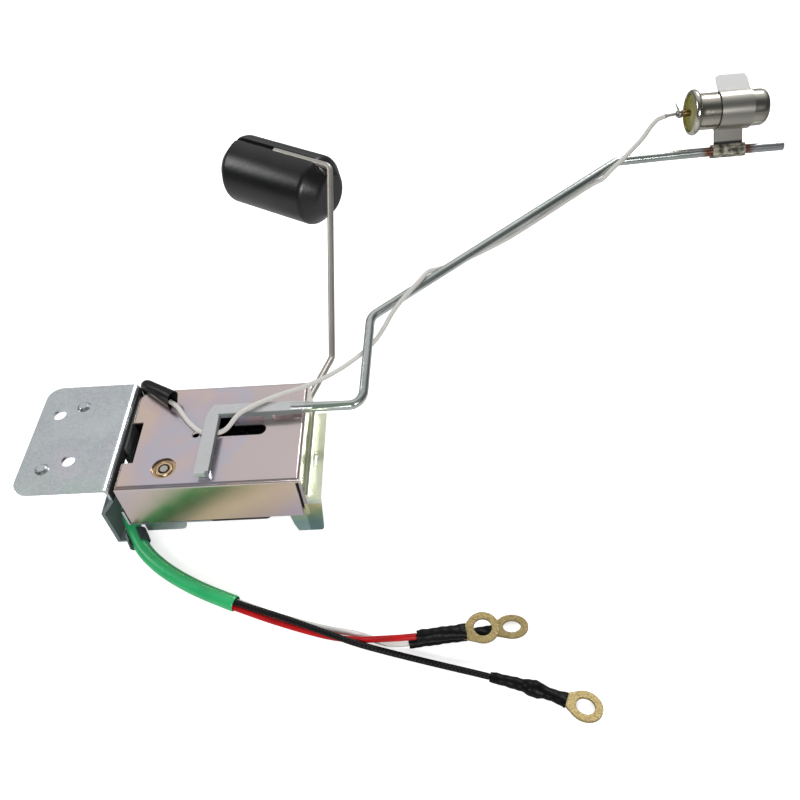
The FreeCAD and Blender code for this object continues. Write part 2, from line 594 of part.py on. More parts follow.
def wiper():
    track_radius = element_radius(S.card_share)
    bore = "arm_radius + fit_gap"
    hub = turned("wiper_hub", [
        (s(bore), "0"), (s("hub_radius * 0.7"), "0"), (s("hub_radius * 0.7"), s("hub_length * 0.45")),
        (s("hub_radius"), s("hub_length * 0.45")), (s("hub_radius"), s("hub_length * 0.72")),
        (s("hub_radius * 0.55"), s("hub_length * 0.72")), (s("hub_radius * 0.55"), s("hub_length")),
        (s(bore), s("hub_length"))])
    place(hub, s("pivot_x"), s("pivot_y"), s("hub_low"))
    node(hub)
    seat = S.hub_low + S.hub_length * 0.72
    half = S.blade_width / 2
    tip = track_radius + S.blade_overhang
    ring = Part.makeCylinder(S.hub_radius, S.blade_gauge, vec(0, 0, seat))
    arm = Part.makePolygon([vec(0, -half, seat), vec(tip - half, -half * 0.6, seat), vec(tip, 0, seat),
                            vec(tip - half, half * 0.6, seat), vec(0, half, seat), vec(0, -half, seat)])
    arm = Part.Face(arm).extrude(vec(0, 0, S.blade_gauge))
    hole = Part.makeCylinder(S.hub_radius * 0.55 + S.fit_gap, S.blade_gauge, vec(0, 0, seat))
    blade = ring.fuse(arm).cut(hole).removeSplitter()
    node(feature("wiper_blade", blade, pivot_placement(S.wiper_angle)))
    track = winding_top() + S.contact_gap
    stem = Part.makeCylinder(S.contact_radius * 0.6, seat - track - S.contact_radius * 0.5,
                             vec(track_radius, 0, track + S.contact_radius * 0.5))
    ball = Part.makeSphere(S.contact_radius, vec(track_radius, 0, track + S.contact_radius))
    contact = stem.fuse(ball)
    below = Part.makeBox(6, 6, seat - track + 1, vec(track_radius - 3, -3, track - 1))
    node(feature("wiper_contact", contact.common(below).removeSplitter(), pivot_placement(S.wiper_angle)))


# Wound resistance on its card, and the moulded frame that carries it
def winding_top():
    return S.hub_low + S.hub_length * 0.72 - 2 * S.contact_radius - S.contact_gap


def card_span():
    start = S.wiper_angle - S.swing_back - S.card_margin
    return start, S.swing_back + S.swing_on + 2 * S.card_margin


def resistance():
    start, sweep = card_span()
    high = winding_top() - S.winding_wall - S.winding_ridge
    low = high - S.card_gauge
    inner = element_radius(S.card_share) - S.card_width / 2
    outer = inner + S.card_width
    card = ring_sector(inner, outer, low, high, start, sweep)
    node(feature("resistor_card", card, pivot_placement()))
    first = start + S.winding_margin
    span = sweep - 2 * S.winding_margin
    wall = S.winding_wall
    body = ring_sector(inner - wall, outer + wall, low - wall, high + wall, first, span)
    turns = int(S.winding_turns)
    pitch = span / turns
    ridge = S.winding_ridge
    for turn in range(turns):
        hoop = ring_sector(inner - wall - ridge, outer + wall + ridge, low - wall - ridge,
                           high + wall + ridge,
                           first + pitch * (turn + 0.2), pitch * 0.6)
        body = body.fuse(hoop)
    body = body.cut(ring_sector(inner, outer, low, high, first - 1, span + 2)).removeSplitter()
    node(feature("resistance_winding", body, pivot_placement()))
    floor = S.base_top
    slab_top = floor + S.frame_gauge
    frame = ring_sector(element_radius(S.frame_share), element_radius(), floor, slab_top, start - 3,
                        sweep + 11)
    for angle in (start, start + sweep):
        side = 1 if angle == start else -1
        corner = Part.makeBox(S.card_width + 2, S.winding_margin * 0.35, low - slab_top,
                              vec(inner - 1, 0, slab_top))
        if side < 0:
            corner.translate(vec(0, -S.winding_margin * 0.35, 0))
        corner.rotate(vec(0, 0, 0), vec(0, 0, 1), angle)
        frame = frame.fuse(corner)
    blade_seat = S.hub_low + S.hub_length * 0.72
    for limit, side in ((S.wiper_angle - S.swing_back, -1), (S.wiper_angle + S.swing_on, 1)):
        reach = S.blade_width / 2 + S.stop_pin + S.contact_gap
        stop_radius = element_radius(S.stop_share)
        angle = math.radians(limit) + side * math.asin(reach / stop_radius)
        foot = vec(stop_radius * math.cos(angle), stop_radius * math.sin(angle), floor)
        frame = frame.fuse(Part.makeCylinder(S.stop_pin, blade_seat + 1 - floor, foot))
    frame = frame.removeSplitter()
    node(feature("element_frame", frame, pivot_placement()))
    lug_angle = start + sweep + 7.5
    lug = Part.makeBox(4.6, 2.2, 0.4, vec(inner + 1, -2.2, slab_top))
    rivet = Part.makeCylinder(0.7, 1.1, vec(inner + 2.2, -1.1, slab_top))
    node(feature("element_terminal", lug.fuse(rivet).removeSplitter(), pivot_placement(lug_angle)))


# Rod that carries the thermistor: flattened and bent over the cover, round beyond it
def rod_points():
    level = S.cover_top + S.strip_lift + S.strip_gauge / 2
    tail = vec(S.tail_x, S.tail_y, S.tail_z)
    way = tail_frame().Rotation.multVec(vec(1, 0, 0))
    return [(S.strip_round_x - S.rod_overlap, S.strip_corner_y, level),
            (S.rod_knee_x, S.rod_knee_y, level + 0.2), (S.rod_rise_x, S.rod_rise_y, S.rod_rise_z),
            (S.rod_high_x, S.rod_high_y, S.rod_high_z), tuple(tail - way * S.tail_behind),
            tuple(tail + way * S.tail_ahead)]


def thermistor_rod():
    low = S.cover_top + S.strip_lift
    half = S.strip_width / 2
    corner = vec(S.strip_corner_x, S.strip_corner_y, low)
    foot = vec(S.strip_end_x, S.strip_end_y, low)
    limb = (foot - corner).normalize()
    side = vec(-limb.y, limb.x, 0)
    outline = [foot - side * half, corner + vec(-half, -half, 0), corner + vec(-half * 0.2, half, 0),
               vec(S.strip_round_x - S.strip_taper, S.strip_corner_y + half, low),
               vec(S.strip_round_x, S.strip_corner_y + S.rod_radius, low),
               vec(S.strip_round_x, S.strip_corner_y - S.rod_radius, low),
               vec(S.strip_round_x - S.strip_taper, S.strip_corner_y - half, low),
               corner + vec(half, -half, 0), foot + side * half]
    strip = Part.Face(Part.makePolygon(outline + outline[:1])).extrude(vec(0, 0, S.strip_gauge))
    bar = bent_bar("thermistor_rod", rod_points(), S.rod_radius, S.rod_bend)
    solid = strip.fuse(bar)
    for x, y in ((S.strip_end_x - 1.2, S.strip_end_y + 1.0), (S.nib_x, S.strip_corner_y - half)):
        nib = Part.makeBox(S.nib_length, S.nib_depth, S.strip_lift + 0.5, vec(x, y, S.cover_top))
        solid = solid.fuse(nib)
    return node(feature("thermistor_rod", solid.removeSplitter()))


# Thermistor can, seal, terminal and clip, all about the rod's tail
def tail_frame():
    """Local X along the tail, local Z from the tail to the can, origin on the tail."""
    yaw = FreeCAD.Rotation(vec(0, 0, 1), S.tail_yaw)
    tilt = FreeCAD.Rotation(vec(1, 0, 0), S.can_tilt - 90)
    return FreeCAD.Placement(vec(S.tail_x, S.tail_y, S.tail_z), yaw.multiply(tilt))


def can_frame():
    lay = FreeCAD.Rotation(vec(0, 1, 0), 90)
    return tail_frame().multiply(FreeCAD.Placement(vec(S.can_start, 0, S.can_rise), lay))


def thermistor():
    end = "can_length"
    can = turned("thermistor_can", [
        ("0", s("seal_depth - can_lip - can_neck")),
        (s("can_lip_radius - seal_wall"), s("seal_depth - can_lip - can_neck")),
        (s("can_lip_radius - seal_wall"), s("0 - can_lip - can_neck")),
        (s("can_lip_radius - 0.4"), s("0 - can_lip - can_neck")),
        (s("can_lip_radius"), s("0 - can_lip - can_neck + 0.5")),
        (s("can_lip_radius"), s("0 - can_neck - 0.4")), (s("can_lip_radius - 0.5"), s("0 - can_neck")),
        (s("can_radius"), "0"), (s("can_radius"), s(end + " - can_round")),
        (s("can_radius - can_round * 0.3"), s(end + " - can_round * 0.3")),
        (s("can_radius - can_round"), s(end)), ("0", s(end))])
    can.Placement = can_frame()
    node(can)
    seal = turned("thermistor_seal", [
        ("0", s("seal_depth - can_lip - can_neck")),
        (s("can_lip_radius - seal_wall"), s("seal_depth - can_lip - can_neck")),
        (s("can_lip_radius - seal_wall"), s("0 - can_lip - can_neck + 0.8")),
        (s("can_lip_radius * 0.55"), s("0 - can_lip - can_neck + 0.8")),
        (s("can_lip_radius * 0.45"), s("0 - can_lip - can_neck + 0.2")), ("0",
                                                                          s("0 - can_lip - can_neck + 0.2"))])
    seal.Placement = can_frame()
    node(seal)
    face = -S.can_lip - S.can_neck + 0.2
    pin = Part.makeCylinder(S.terminal_radius, S.terminal_length, vec(0, 0, face - S.terminal_length))
    node(feature("thermistor_terminal", pin, can_frame()))
    drop = Part.makeSphere(S.solder_radius, vec(0, 0, face - S.terminal_length - 0.3))
    hole = Part.makeCylinder(S.terminal_radius, S.terminal_length, vec(0, 0, face - S.terminal_length))
    spike = Part.makeCone(0.35, 0.12, 3.0, vec(-1.0, 0, face - S.terminal_length - 0.6), vec(-1, 0, -0.45))
    node(feature("solder_joint", drop.fuse(spike).cut(hole).removeSplitter(), can_frame()))


def thermistor_clip():
    inner = S.can_radius + S.fit_gap
    outer = inner + S.clip_gauge
    along = vec(1, 0, 0)
    start, width = S.band_start, S.band_length
    centre = vec(start, 0, S.can_rise)
    band = Part.makeCylinder(outer, width, centre, along).cut(Part.makeCylinder(inner, width, centre, along))
    half = math.radians(S.clip_opening / 2)
    spread = 3 * outer * math.tan(half)
    high = S.can_rise + 3 * outer
    wedge = Part.makePolygon([centre, vec(start, -spread, high), vec(start, spread, high), centre])
    band = band.cut(Part.Face(wedge).extrude(vec(width, 0, 0)))
    edge_y = (inner + S.clip_gauge / 2) * math.sin(half)
    edge_z = S.can_rise + (inner + S.clip_gauge / 2) * math.cos(half)
    reach = S.flag_length
    outline = [(start, 0), (start + width, 0), (start + width - reach * 0.2, reach * 0.7),
               (start + width - reach * 0.4, reach), (start, reach), (start - reach * 0.18, reach * 0.9),
               (start - reach * 0.16, reach * 0.6), (start, 0)]
    flag = Part.Face(Part.makePolygon([vec(x, 0, z) for x, z in outline])).extrude(vec(0, S.clip_gauge, 0))
    flag.translate(vec(0, -edge_y - S.clip_gauge / 2, edge_z - S.clip_gauge * 0.3))
    stem_start = S.crimp_start + 0.9
    stem_top = S.can_rise - inner - S.clip_gauge / 2
    stem = Part.makeBox(S.crimp_length - 1.4, S.stem_gauge, stem_top, vec(stem_start, -S.stem_gauge / 2, 0))
    wrap = S.rod_radius + S.fit_gap + S.crimp_wall
    crimp = Part.makeBox(S.crimp_length, 2 * wrap, 2 * wrap, vec(S.crimp_start, -wrap, -wrap))
    crimp = crimp.makeFillet(wrap * 0.55,
                             [e for e in crimp.Edges if same(abs(e.tangentAt(e.FirstParameter).x), 1)])
    bore = Part.makeCylinder(S.rod_radius + S.fit_gap, S.crimp_length, vec(S.crimp_start, 0, 0), along)
    solid = band.fuse([flag, stem, crimp]).cut(bore).removeSplitter()
    return node(feature("thermistor_clip", solid, tail_frame()))


# Thermistor lead and the sleeve over its end
def lead_sleeve_points():
    beside = S.plate_right + S.lead_sleeve_radius + 0.2
    behind = S.cover_front + S.cover_width + S.lead_sleeve_gap
    up = [(beside, behind, z) for x, y, z in route((0, 0, -8.0), (0, 0, -2.4))]
    over = S.cover_top + S.lead_sleeve_radius + 0.3
    return up + [(beside + 0.9, behind - 2.3, over + 0.1)] + [
        (x, y, over + lift) for x, y, lift in route((28.9, 16.2, 0.2), (35.2, 11.6, 0.0))]


def lead_points():
    socket = lead_sleeve_points()
    end, before = vec(*socket[-1]), vec(*socket[-2])
    way = (end - before).normalize() * S.lead_socket
    below = S.cover_top + S.lead_radius + 0.06
    over = S.cover_top + S.strip_lift + S.strip_gauge + S.lead_radius + 0.4
    crossing = [(x, y, z) for (x, y, _), z in zip(
        route((38.4, 7.2, 0), (42.2, 2.2, 0), (46.4, -1.8, 0), (50.4, -2.9, 0), (55.0, -1.5, 0),
              (58.6, 1.5, 0), (62.8, 4.9, 0), (71.2, 9.8, 0)),
        (below + 0.9, below + 0.1, below, below, below, over, over + 0.1, over - 0.3))]
    wound = route(
        (80.7, 13.2, 5.3), (90.7, 17.7, 6.9), (97.5, 22.8, 7.9), (102.9, 27.6, 9.3), (106.6, 31.8, 11.6),
        (110.0, 36.3, 15.4), (114.9, 40.1, 19.3), (119.8, 44.6, 21.5), (122.9, 49.4, 21.8),
        (126.2, 52.7, 19.7), (132.0, 55.2, 19.0), (140.3, 58.8, 20.5), (151.0, 62.8, 22.9),
        (164.0, 70.8, 25.6), (175.6, 78.2, 28.1), (184.6, 83.4, 30.3), (187.8, 83.0, 31.9),
        (190.6, 84.5, 34.8), (195.1, 87.4, 36.9), (198.4, 89.8, 38.9),
        (202.5, 92.7, 41.3), (205.9, 96.1, 44.4), (209.3, 98.4, 46.4))
    return [tuple(end - way), tuple(end + way)] + crossing + wound + [tuple(terminal_tip())]


def terminal_tip():
    """The end of the solder on the thermistor's pin."""
    return can_frame().multVec(vec(0, 0, -S.can_lip - S.can_neck + 0.2 - S.terminal_length - S.solder_radius))


def thermistor_wiring():
    node(feature("lead_sleeve", socketed("lead_sleeve", lead_sleeve_points(), S.lead_sleeve_radius,
                                         S.lead_radius + 0.2, S.lead_socket)))
    node(feature("thermistor_lead", free_tube("thermistor_lead", lead_points(), S.lead_radius)))


def socketed(name, points, radius, bore, depth):
    """A tube with a round socket in its far end."""
    solid = free_tube(name, points, radius)
    end, before = vec(*points[-1]), vec(*points[-2])
    along = (end - before).normalize()
    return solid.cut(Part.makeCylinder(bore, depth, end - along * depth, along))


# Cable: green sleeve, three wires, shrink sleeves and ring terminals
def mouth_points(side, rise):
    """The bottom of the sleeve's socket and a point ahead of its mouth, off the middle line."""
    end, before = vec(*sleeve_points()[-1]), vec(*sleeve_points()[-2])
    along = (end - before).normalize()
    offset = vec(-along.y, along.x, 0) * side + vec(0, 0, rise)
    return [tuple(end - along * S.sleeve_socket + offset), tuple(end + along * S.sleeve_socket + offset)]


def wire_routes():
    radius = S.wire_radius
    over = 2.2 * radius / S.route_unit
    apart = radius + 0.05
    black = mouth_points(0.0, radius + 0.22) + on_floor(
        radius, (70.4, -53.4, over + 0.35), (78.4, -56.4, over + 0.1), (88.0, -60.4, over + 0.1),
        (97.0, -64.0, 1.9), (109.4, -67.0, 0.0), (120.5, -70.3, 0.1))
    red = mouth_points(-apart, 0.45 - radius) + on_floor(
        radius, (69.2, -54.1, 0.0), (78.5, -57.4, 0.0), (87.6, -60.3, 0.0), (96.0, -61.8, 0.3),
        (103.4, -63.1, 3.2))
    white = mouth_points(apart, 0.45 - radius) + on_floor(
        radius, (69.0, -51.8, 0.0), (78.4, -55.1, 0.0), (88.2, -58.0, 0.0), (96.5, -59.6, 0.0),
        (102.6, -62.4, 0.2))
    return {"black": black, "red": red, "white": white}


def shrink_routes():
    radius = S.shrink_radius
    black = on_floor(radius, (134.6, -74.7, 0), (140.6, -76.5, 0), (147.0, -78.6, 0), (155.2, -82.2, 0))
    red = on_floor(radius, (114.3, -63.7, 4.35), (121.4, -63.3, 4.55), (128.6, -62.7, 4.45))
    white = on_floor(radius, (111.7, -63.6, 0), (120.6, -62.6, 0), (129.2, -61.7, 0.1), (136.6, -61.1, 0))
    return {"black": black, "red": red, "white": white}


# Middle of each ring's hole, with its lift above the floor, and the tilts about X and Y
RINGS = {"black": ((160.0, -84.1, 1.28), -13.1, 7.4), "red": ((133.6, -61.1, 4.4), 0, 0),
         "white": ((142.3, -60.05, 1.84), -21.9, -1.9)}


def cable():
    node(feature("cable_sleeve", socketed("cable_sleeve", sleeve_points(), S.cable_sleeve_radius,
                                          S.cable_sleeve_radius - S.sleeve_wall, S.sleeve_socket)))
    routes = wire_routes()
    shrinks = shrink_routes()
    for colour in ("black", "red", "white"):
        shrink = shrinks[colour]
        first, second = vec(*shrink[0]), vec(*shrink[1])
        wire = routes[colour] + [tuple(first + (first - second).normalize() * S.crimp_lead), shrink[0]]
        node(feature("wire_" + colour, free_tube("wire_" + colour, wire, S.wire_radius)))
        ring_terminal(colour, shrink)


def ring_terminal(colour, shrink):
    """A flat ring with a neck, crimped under its shrink sleeve."""
    end, before = vec(*shrink[-1]), vec(*shrink[-2])
    middle, tilt_x, tilt_y = RINGS[colour]
    centre_x, centre_y, level = on_floor(0.0, middle)[0]
    heading = math.degrees(math.atan2(centre_y - end.y, centre_x - end.x))
    reach = math.hypot(centre_x - end.x, centre_y - end.y)
    ring = Part.makeCylinder(S.ring_outer, S.ring_gauge)
    half = S.neck_width / 2
    wedge = [vec(-reach - 1.2, -half, 0), vec(-S.ring_outer * 0.45, -S.ring_outer * 0.89, 0),
             vec(-S.ring_outer * 0.45, S.ring_outer * 0.89, 0), vec(-reach - 1.2, half, 0)]
    neck = Part.Face(Part.makePolygon(wedge + wedge[:1])).extrude(vec(0, 0, S.ring_gauge))
    shape = ring.fuse(neck).cut(Part.makeCylinder(S.ring_hole, S.ring_gauge))
    lean = FreeCAD.Rotation(vec(1, 0, 0), tilt_x).multiply(FreeCAD.Rotation(vec(0, 1, 0), tilt_y))
    turn = lean.multiply(FreeCAD.Rotation(vec(0, 0, 1), heading))
    at = FreeCAD.Placement(vec(centre_x, centre_y, level), turn)
    ring_node = feature("ring_" + colour, shape.removeSplitter(), at)
    sleeve = free_tube("shrink_" + colour, shrink, S.shrink_radius)
    if colour == "black":
        swell = S.shrink_radius * 1.2
        middle = vec(shrink[2][0], shrink[2][1], S.floor_level + swell)
        along = (vec(*shrink[2]) - vec(*shrink[1])).normalize()
        lump = Part.makeCylinder(swell, 2 * swell, middle - along * swell, along)
        sleeve = sleeve.fuse(lump).removeSplitter()
    sleeve = sleeve.cut(ring_node.Shape)
    node(feature("shrink_" + colour, sleeve))
    node(ring_node)


mounting_bracket()
base_tray()
housing_cover()
pivot_bushes()
float_arm()
arm_float()
wiper()
resistance()
thermistor_rod()
thermistor()
thermistor_clip()
thermistor_wiring()
cable()
doc.recompute()

# Every object must be sound before its file is written
for obj in doc.Objects:
    if "Invalid" in obj.State or "Error" in obj.State:
        raise RuntimeError("%s failed: %s" % (obj.Label, obj.State))
for obj in NODES:
    if obj.Shape.isNull() or not obj.Shape.isValid() or not obj.Shape.Solids:
        raise RuntimeError("%s has no sound solid" % obj.Label)
    obj.Shape.exportStep("parts/%s.step" % obj.Label)
    print("%-20s solids %d volume %9.1f" % (obj.Label, len(obj.Shape.Solids), obj.Shape.Volume))
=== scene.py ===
# %% [markdown]
# # A fuel level sender, dressed for its picture
# The CAD model gives every piece its place and size. This lesson loads it as a frame, then gives
# each piece the surface that the real one has: folded zinc-plated sheet with a rainbow film,
# bent wire, a black foam float, a nickel can, and soft sleeved wires that lie on the ground.
# Everything is in metres, in the frame of the CAD model.

# %% Load the frame
import math

import bmesh
import bpy
import numpy as np
from mathutils import Matrix, Vector


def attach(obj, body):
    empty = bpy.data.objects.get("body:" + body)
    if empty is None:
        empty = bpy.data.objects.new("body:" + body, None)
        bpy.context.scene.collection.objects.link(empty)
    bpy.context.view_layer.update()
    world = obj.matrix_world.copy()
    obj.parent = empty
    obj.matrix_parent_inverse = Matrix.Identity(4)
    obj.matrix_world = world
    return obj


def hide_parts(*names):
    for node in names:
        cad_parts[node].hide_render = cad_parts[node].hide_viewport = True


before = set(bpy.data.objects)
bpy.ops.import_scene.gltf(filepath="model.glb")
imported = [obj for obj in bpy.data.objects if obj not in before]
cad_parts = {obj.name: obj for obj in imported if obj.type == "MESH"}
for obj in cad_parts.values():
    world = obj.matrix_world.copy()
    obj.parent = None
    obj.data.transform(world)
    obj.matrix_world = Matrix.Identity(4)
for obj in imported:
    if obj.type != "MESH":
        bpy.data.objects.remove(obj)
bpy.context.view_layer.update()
MM = 0.001
GROUND = -28.1  # height of the ground, in millimetres
FLOOR = GROUND * MM
WELD = 1e-7  # metres: points of a new surface that are closer than this are one point
CAD_WELD = 2e-6  # the same for a copy of a CAD node
SHORTEST = 1e-6  # metres: shorter steps along a line are left out

# %% [markdown]
# ## Camera
# The picture was taken from the front, looking down by just over half a right angle, with the
# camera turned a little about its own view line. A camera matrix is built from those angles,
# so its columns are the right, up and backward directions. A target empty would be easier to
# write, but it can't hold the small roll.

# %% Place the camera
def view_axes(azimuth, elevation, roll):
    """Right, up and view directions: the view line from two angles, the frame rolled about it."""
    a, e, t = np.radians([azimuth, elevation, roll])
    view = np.array([np.sin(a) * np.cos(e), np.cos(a) * np.cos(e), -np.sin(e)])
    level = np.array([np.cos(a), -np.sin(a), 0.0])
    upright = np.cross(level, view)
    right = np.cos(t) * level + np.sin(t) * upright
    up = -np.sin(t) * level + np.cos(t) * upright
    return right, up, view


AZIMUTH, ELEVATION, ROLL = -4.0743, 47.4706, -6.0764
STANDPOINT = (0.12411, -0.16825, 0.19446)
right, up, view = view_axes(AZIMUTH, ELEVATION, ROLL)
camera_data = bpy.data.cameras.new("camera")
camera_data.sensor_width = 36
camera_data.lens = 35.635
camera = bpy.data.objects.new("camera", camera_data)
bpy.context.scene.collection.objects.link(camera)
turn = Matrix([[right[i], up[i], -view[i]] for i in range(3)]).to_4x4()
camera.matrix_world = Matrix.Translation(STANDPOINT) @ turn
bpy.context.scene.camera = camera
bpy.context.scene.view_settings.view_transform = "Standard"
print("camera at", [round(v, 3) for v in camera.location])

# %% [markdown]
# ## Paths
# A cord is a smooth line through space. Blender's own NURBS curve gives that line from a few
# control points. The line is read back as points, and a tube is computed round it with numpy, so
# that a mouth, a swelling or a woven pattern can follow the cord. Routes are written in
# millimetres, as in the CAD source, and lines come back in metres.

# %% Read a smooth line from a spline
def spline_line(route, detail=10):
    """The points of a NURBS curve of order 3 whose control points are the route."""
    data = bpy.data.curves.new("route", "CURVE")
    data.dimensions = "3D"
    spline = data.splines.new("NURBS")
    spline.points.add(len(route) - 1)
    control = np.c_[np.array(route) * MM, np.ones(len(route))]
    spline.points.foreach_set("co", control.ravel())
    spline.order_u = 3
    spline.use_endpoint_u = True
    spline.resolution_u = detail
    holder = bpy.data.objects.new("route", data)
    mesh = bpy.data.meshes.new_from_object(holder)
    line = np.empty(3 * len(mesh.vertices))
    mesh.vertices.foreach_get("co", line)
    bpy.data.objects.remove(holder)
    bpy.data.curves.remove(data)
    bpy.data.meshes.remove(mesh)
    line = line.reshape(-1, 3)
    apart = np.linalg.norm(np.diff(line, axis=0), axis=1) > SHORTEST
    return line[np.r_[True, apart]]


def line_length(line):
    """The length in metres of a line given as points."""
    return float(np.linalg.norm(np.diff(line, axis=0), axis=1).sum())


# %% [markdown]
# ## Surfaces
# Every new piece is a grid of points. One helper turns such a grid into a mesh, merges the points
# that meet at a pole or a seam, and turns all faces outward. Its UV map holds the distance along
# the piece and the way round it, both in millimetres, so that a weave keeps its real size.

# %% Turn a grid of points into a piece
def add_piece(name, mesh, material, nodes, sharp=50, body="housing"):
    """Link a mesh as an object at the origin, riding on a body and standing for CAD nodes."""
    mesh.materials.append(material)
    mesh.shade_smooth()
    mesh.set_sharp_from_angle(angle=math.radians(sharp))
    piece = bpy.data.objects.new(name, mesh)
    bpy.context.scene.collection.objects.link(piece)
    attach(piece, body)
    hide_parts(*nodes)
    return piece


def grid_mesh(name, points, uv):
    """Quads between neighbouring rows and columns of points, closed round the second direction."""
    rows, columns = points.shape[:2]
    i, j = np.meshgrid(np.arange(rows - 1), np.arange(columns), indexing="ij")
    k = (j + 1) % columns
    corners = [i * columns + j, i * columns + k, (i + 1) * columns + k, (i + 1) * columns + j]
    faces = np.stack(corners, -1).reshape(-1, 4)
    mesh = bpy.data.meshes.new(name)
    mesh.from_pydata(points.reshape(-1, 3).tolist(), [], faces.tolist())
    along, around = uv
    u = np.stack([along[i], along[i], along[i + 1], along[i + 1]], -1)
    v = np.stack([around[j], around[j + 1], around[j + 1], around[j]], -1)
    layer = mesh.uv_layers.new(name="UVMap")
    layer.data.foreach_set("uv", np.stack([u, v], -1).ravel())
    work = bmesh.new()
    work.from_mesh(mesh)
    bmesh.ops.remove_doubles(work, verts=work.verts, dist=WELD)
    bmesh.ops.recalc_face_normals(work, faces=work.faces)
    work.to_mesh(mesh)
    work.free()
    return mesh


# %% Sweep a round section along a line
def moving_frame(line):
    """Two directions square to the line at each point, carried along it with the least twist."""
    tangent = np.gradient(line, axis=0)
    tangent /= np.linalg.norm(tangent, axis=1)[:, None]
    start = np.cross(tangent[0], [0.3, 0.1, 1.0])
    normals = [start / np.linalg.norm(start)]
    for t in tangent[1:]:
        n = normals[-1] - t * (normals[-1] @ t)
        normals.append(n / np.linalg.norm(n))
    normals = np.array(normals)
    return tangent, normals, np.cross(tangent, normals)


def swept(name, line, along, radius, sides, lobes=None):
    """Rings of centre + radius * (cos a * normal + sin a * binormal), each at a distance along."""
    steps = np.r_[0, np.cumsum(np.linalg.norm(np.diff(line, axis=0), axis=1))]
    _, normal, binormal = moving_frame(line)

    def at(values):
        return np.stack([np.interp(along, steps, values[:, k]) for k in range(3)], -1)

    angle = np.arange(sides) * 2 * np.pi / sides
    spread = np.ones((len(along), sides)) if lobes is None else lobes(along, angle)
    ring = (np.cos(angle)[None, :, None] * at(normal)[:, None]
            + np.sin(angle)[None, :, None] * at(binormal)[:, None])
    points = at(line)[:, None] + (radius[:, None] * spread)[..., None] * ring
    around = np.arange(sides + 1) / sides * 2 * np.pi * radius.max() / MM
    walked = np.r_[0, np.cumsum(np.hypot(np.diff(along), np.diff(radius)))] / MM
    return grid_mesh(name, points, (walked, around))


# %% [markdown]
# ## Softened sheet metal
# A folded sheet is already right in the CAD model, but its cut edges are knife sharp. A copy of
# the node is merged, its flat triangles are joined, and a narrow bevel is put on the edges. That
# bevel catches the light as the thin white lines in the photo.

# %% Copy a CAD node and soften its edges
def softened(node, material, width=0.12, sharp=35):
    """A copy of a node with a bevel of this width in millimetres; it stands for the node."""
    work = bmesh.new()
    work.from_mesh(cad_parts[node].data)
    bmesh.ops.remove_doubles(work, verts=work.verts, dist=CAD_WELD)
    bmesh.ops.dissolve_limit(work, angle_limit=math.radians(1.0), verts=work.verts,
                             edges=work.edges)
    mesh = bpy.data.meshes.new(node + "_skin")
    work.to_mesh(mesh)
    work.free()
    piece = add_piece(node + "_skin", mesh, material, (node,), sharp)
    bevel = piece.modifiers.new("softened edges", "BEVEL")
    bevel.width = width * MM
    bevel.segments = 2
    bevel.limit_method = "ANGLE"
    bevel.angle_limit = math.radians(30)
    bevel.harden_normals = True
    bevel.use_clamp_overlap = True
    shading = piece.modifiers.new("even shading", "WEIGHTED_NORMAL")
    shading.keep_sharp = True
    return piece


# %% [markdown]
# ## Shared effects
# Several finishes need the same four things: soft clouds of variation, fine scratches drawn out
# one way, a stain that fades from a place, and a box mask, which marks a box of space. Box masks
# paint shade into gaps and under parts, paint light in one place, and lay other tones. Each is
# a node group with named sockets, built once and used with other values in each material. The
# helpers take each input of a node as a plain value or as a socket to link.

# %% Node helpers
def fill(tree, node, inputs):
    """Link each input that is a socket, and set each one that is a plain value."""
    for label, value in inputs.items():
        if isinstance(value, bpy.types.NodeSocket):
            tree.links.new(value, node.inputs[label])
        else:
            node.inputs[label].default_value = value
    return node


def add(tree, kind, inputs=None, **settings):
    """A shader node of this kind, with its inputs by name or number and its plain settings."""
    node = tree.nodes.new("ShaderNode" + kind)
    for label, value in settings.items():
        setattr(node, label, value)
    return fill(tree, node, inputs or {})


def calc(tree, operation, *values):
    """One step of arithmetic on numbers or sockets."""
    return add(tree, "Math", dict(enumerate(values)), operation=operation).outputs[0]


def measure(tree, operation, a, b):
    """The distance or the dot product of two vectors."""
    return add(tree, "VectorMath", {0: a, 1: b}, operation=operation).outputs["Value"]


def remap(tree, value, low=0.0, high=1.0, to_low=0.0, to_high=1.0, **settings):
    """Carry a value from the range low..high to the range to_low..to_high."""
    inputs = {0: value, 1: low, 2: high, 3: to_low, 4: to_high}
    return add(tree, "MapRange", inputs, **settings).outputs[0]


def step(tree, value, low, high):
    """0 at low and 1 at high, with a soft turn at both."""
    return remap(tree, value, low, high, interpolation_type="SMOOTHSTEP")


def largest(tree, values):
    """The largest of some values, which joins them where they are masks."""
    found = values[0]
    for value in values[1:]:
        found = calc(tree, "MAXIMUM", found, value)
    return found


def new_group(name, output, **inputs):
    """A node group with one output; an input with a tuple as its value is a vector."""
    group = bpy.data.node_groups.new(name, "ShaderNodeTree")
    for label, value in inputs.items():
        kind = "NodeSocketVector" if isinstance(value, tuple) else "NodeSocketFloat"
        socket = group.interface.new_socket(label, in_out="INPUT", socket_type=kind)
        socket.default_value = value
    group.interface.new_socket(output, in_out="OUTPUT", socket_type="NodeSocketFloat")
    given = group.nodes.new("NodeGroupInput").outputs
    return group, given, group.nodes.new("NodeGroupOutput").inputs[0]


# %% Build node groups
ORIGIN = (0.0, 0.0, 0.0)
clouds, given, result = new_group("clouds", "Mask", Vector=ORIGIN, Scale=60.0, Low=0.35, High=0.65)
cloud = add(clouds, "TexNoise", {"Vector": given["Vector"], "Scale": given["Scale"], "Detail": 4.0})
clouds.links.new(step(clouds, cloud.outputs[0], given["Low"], given["High"]), result)

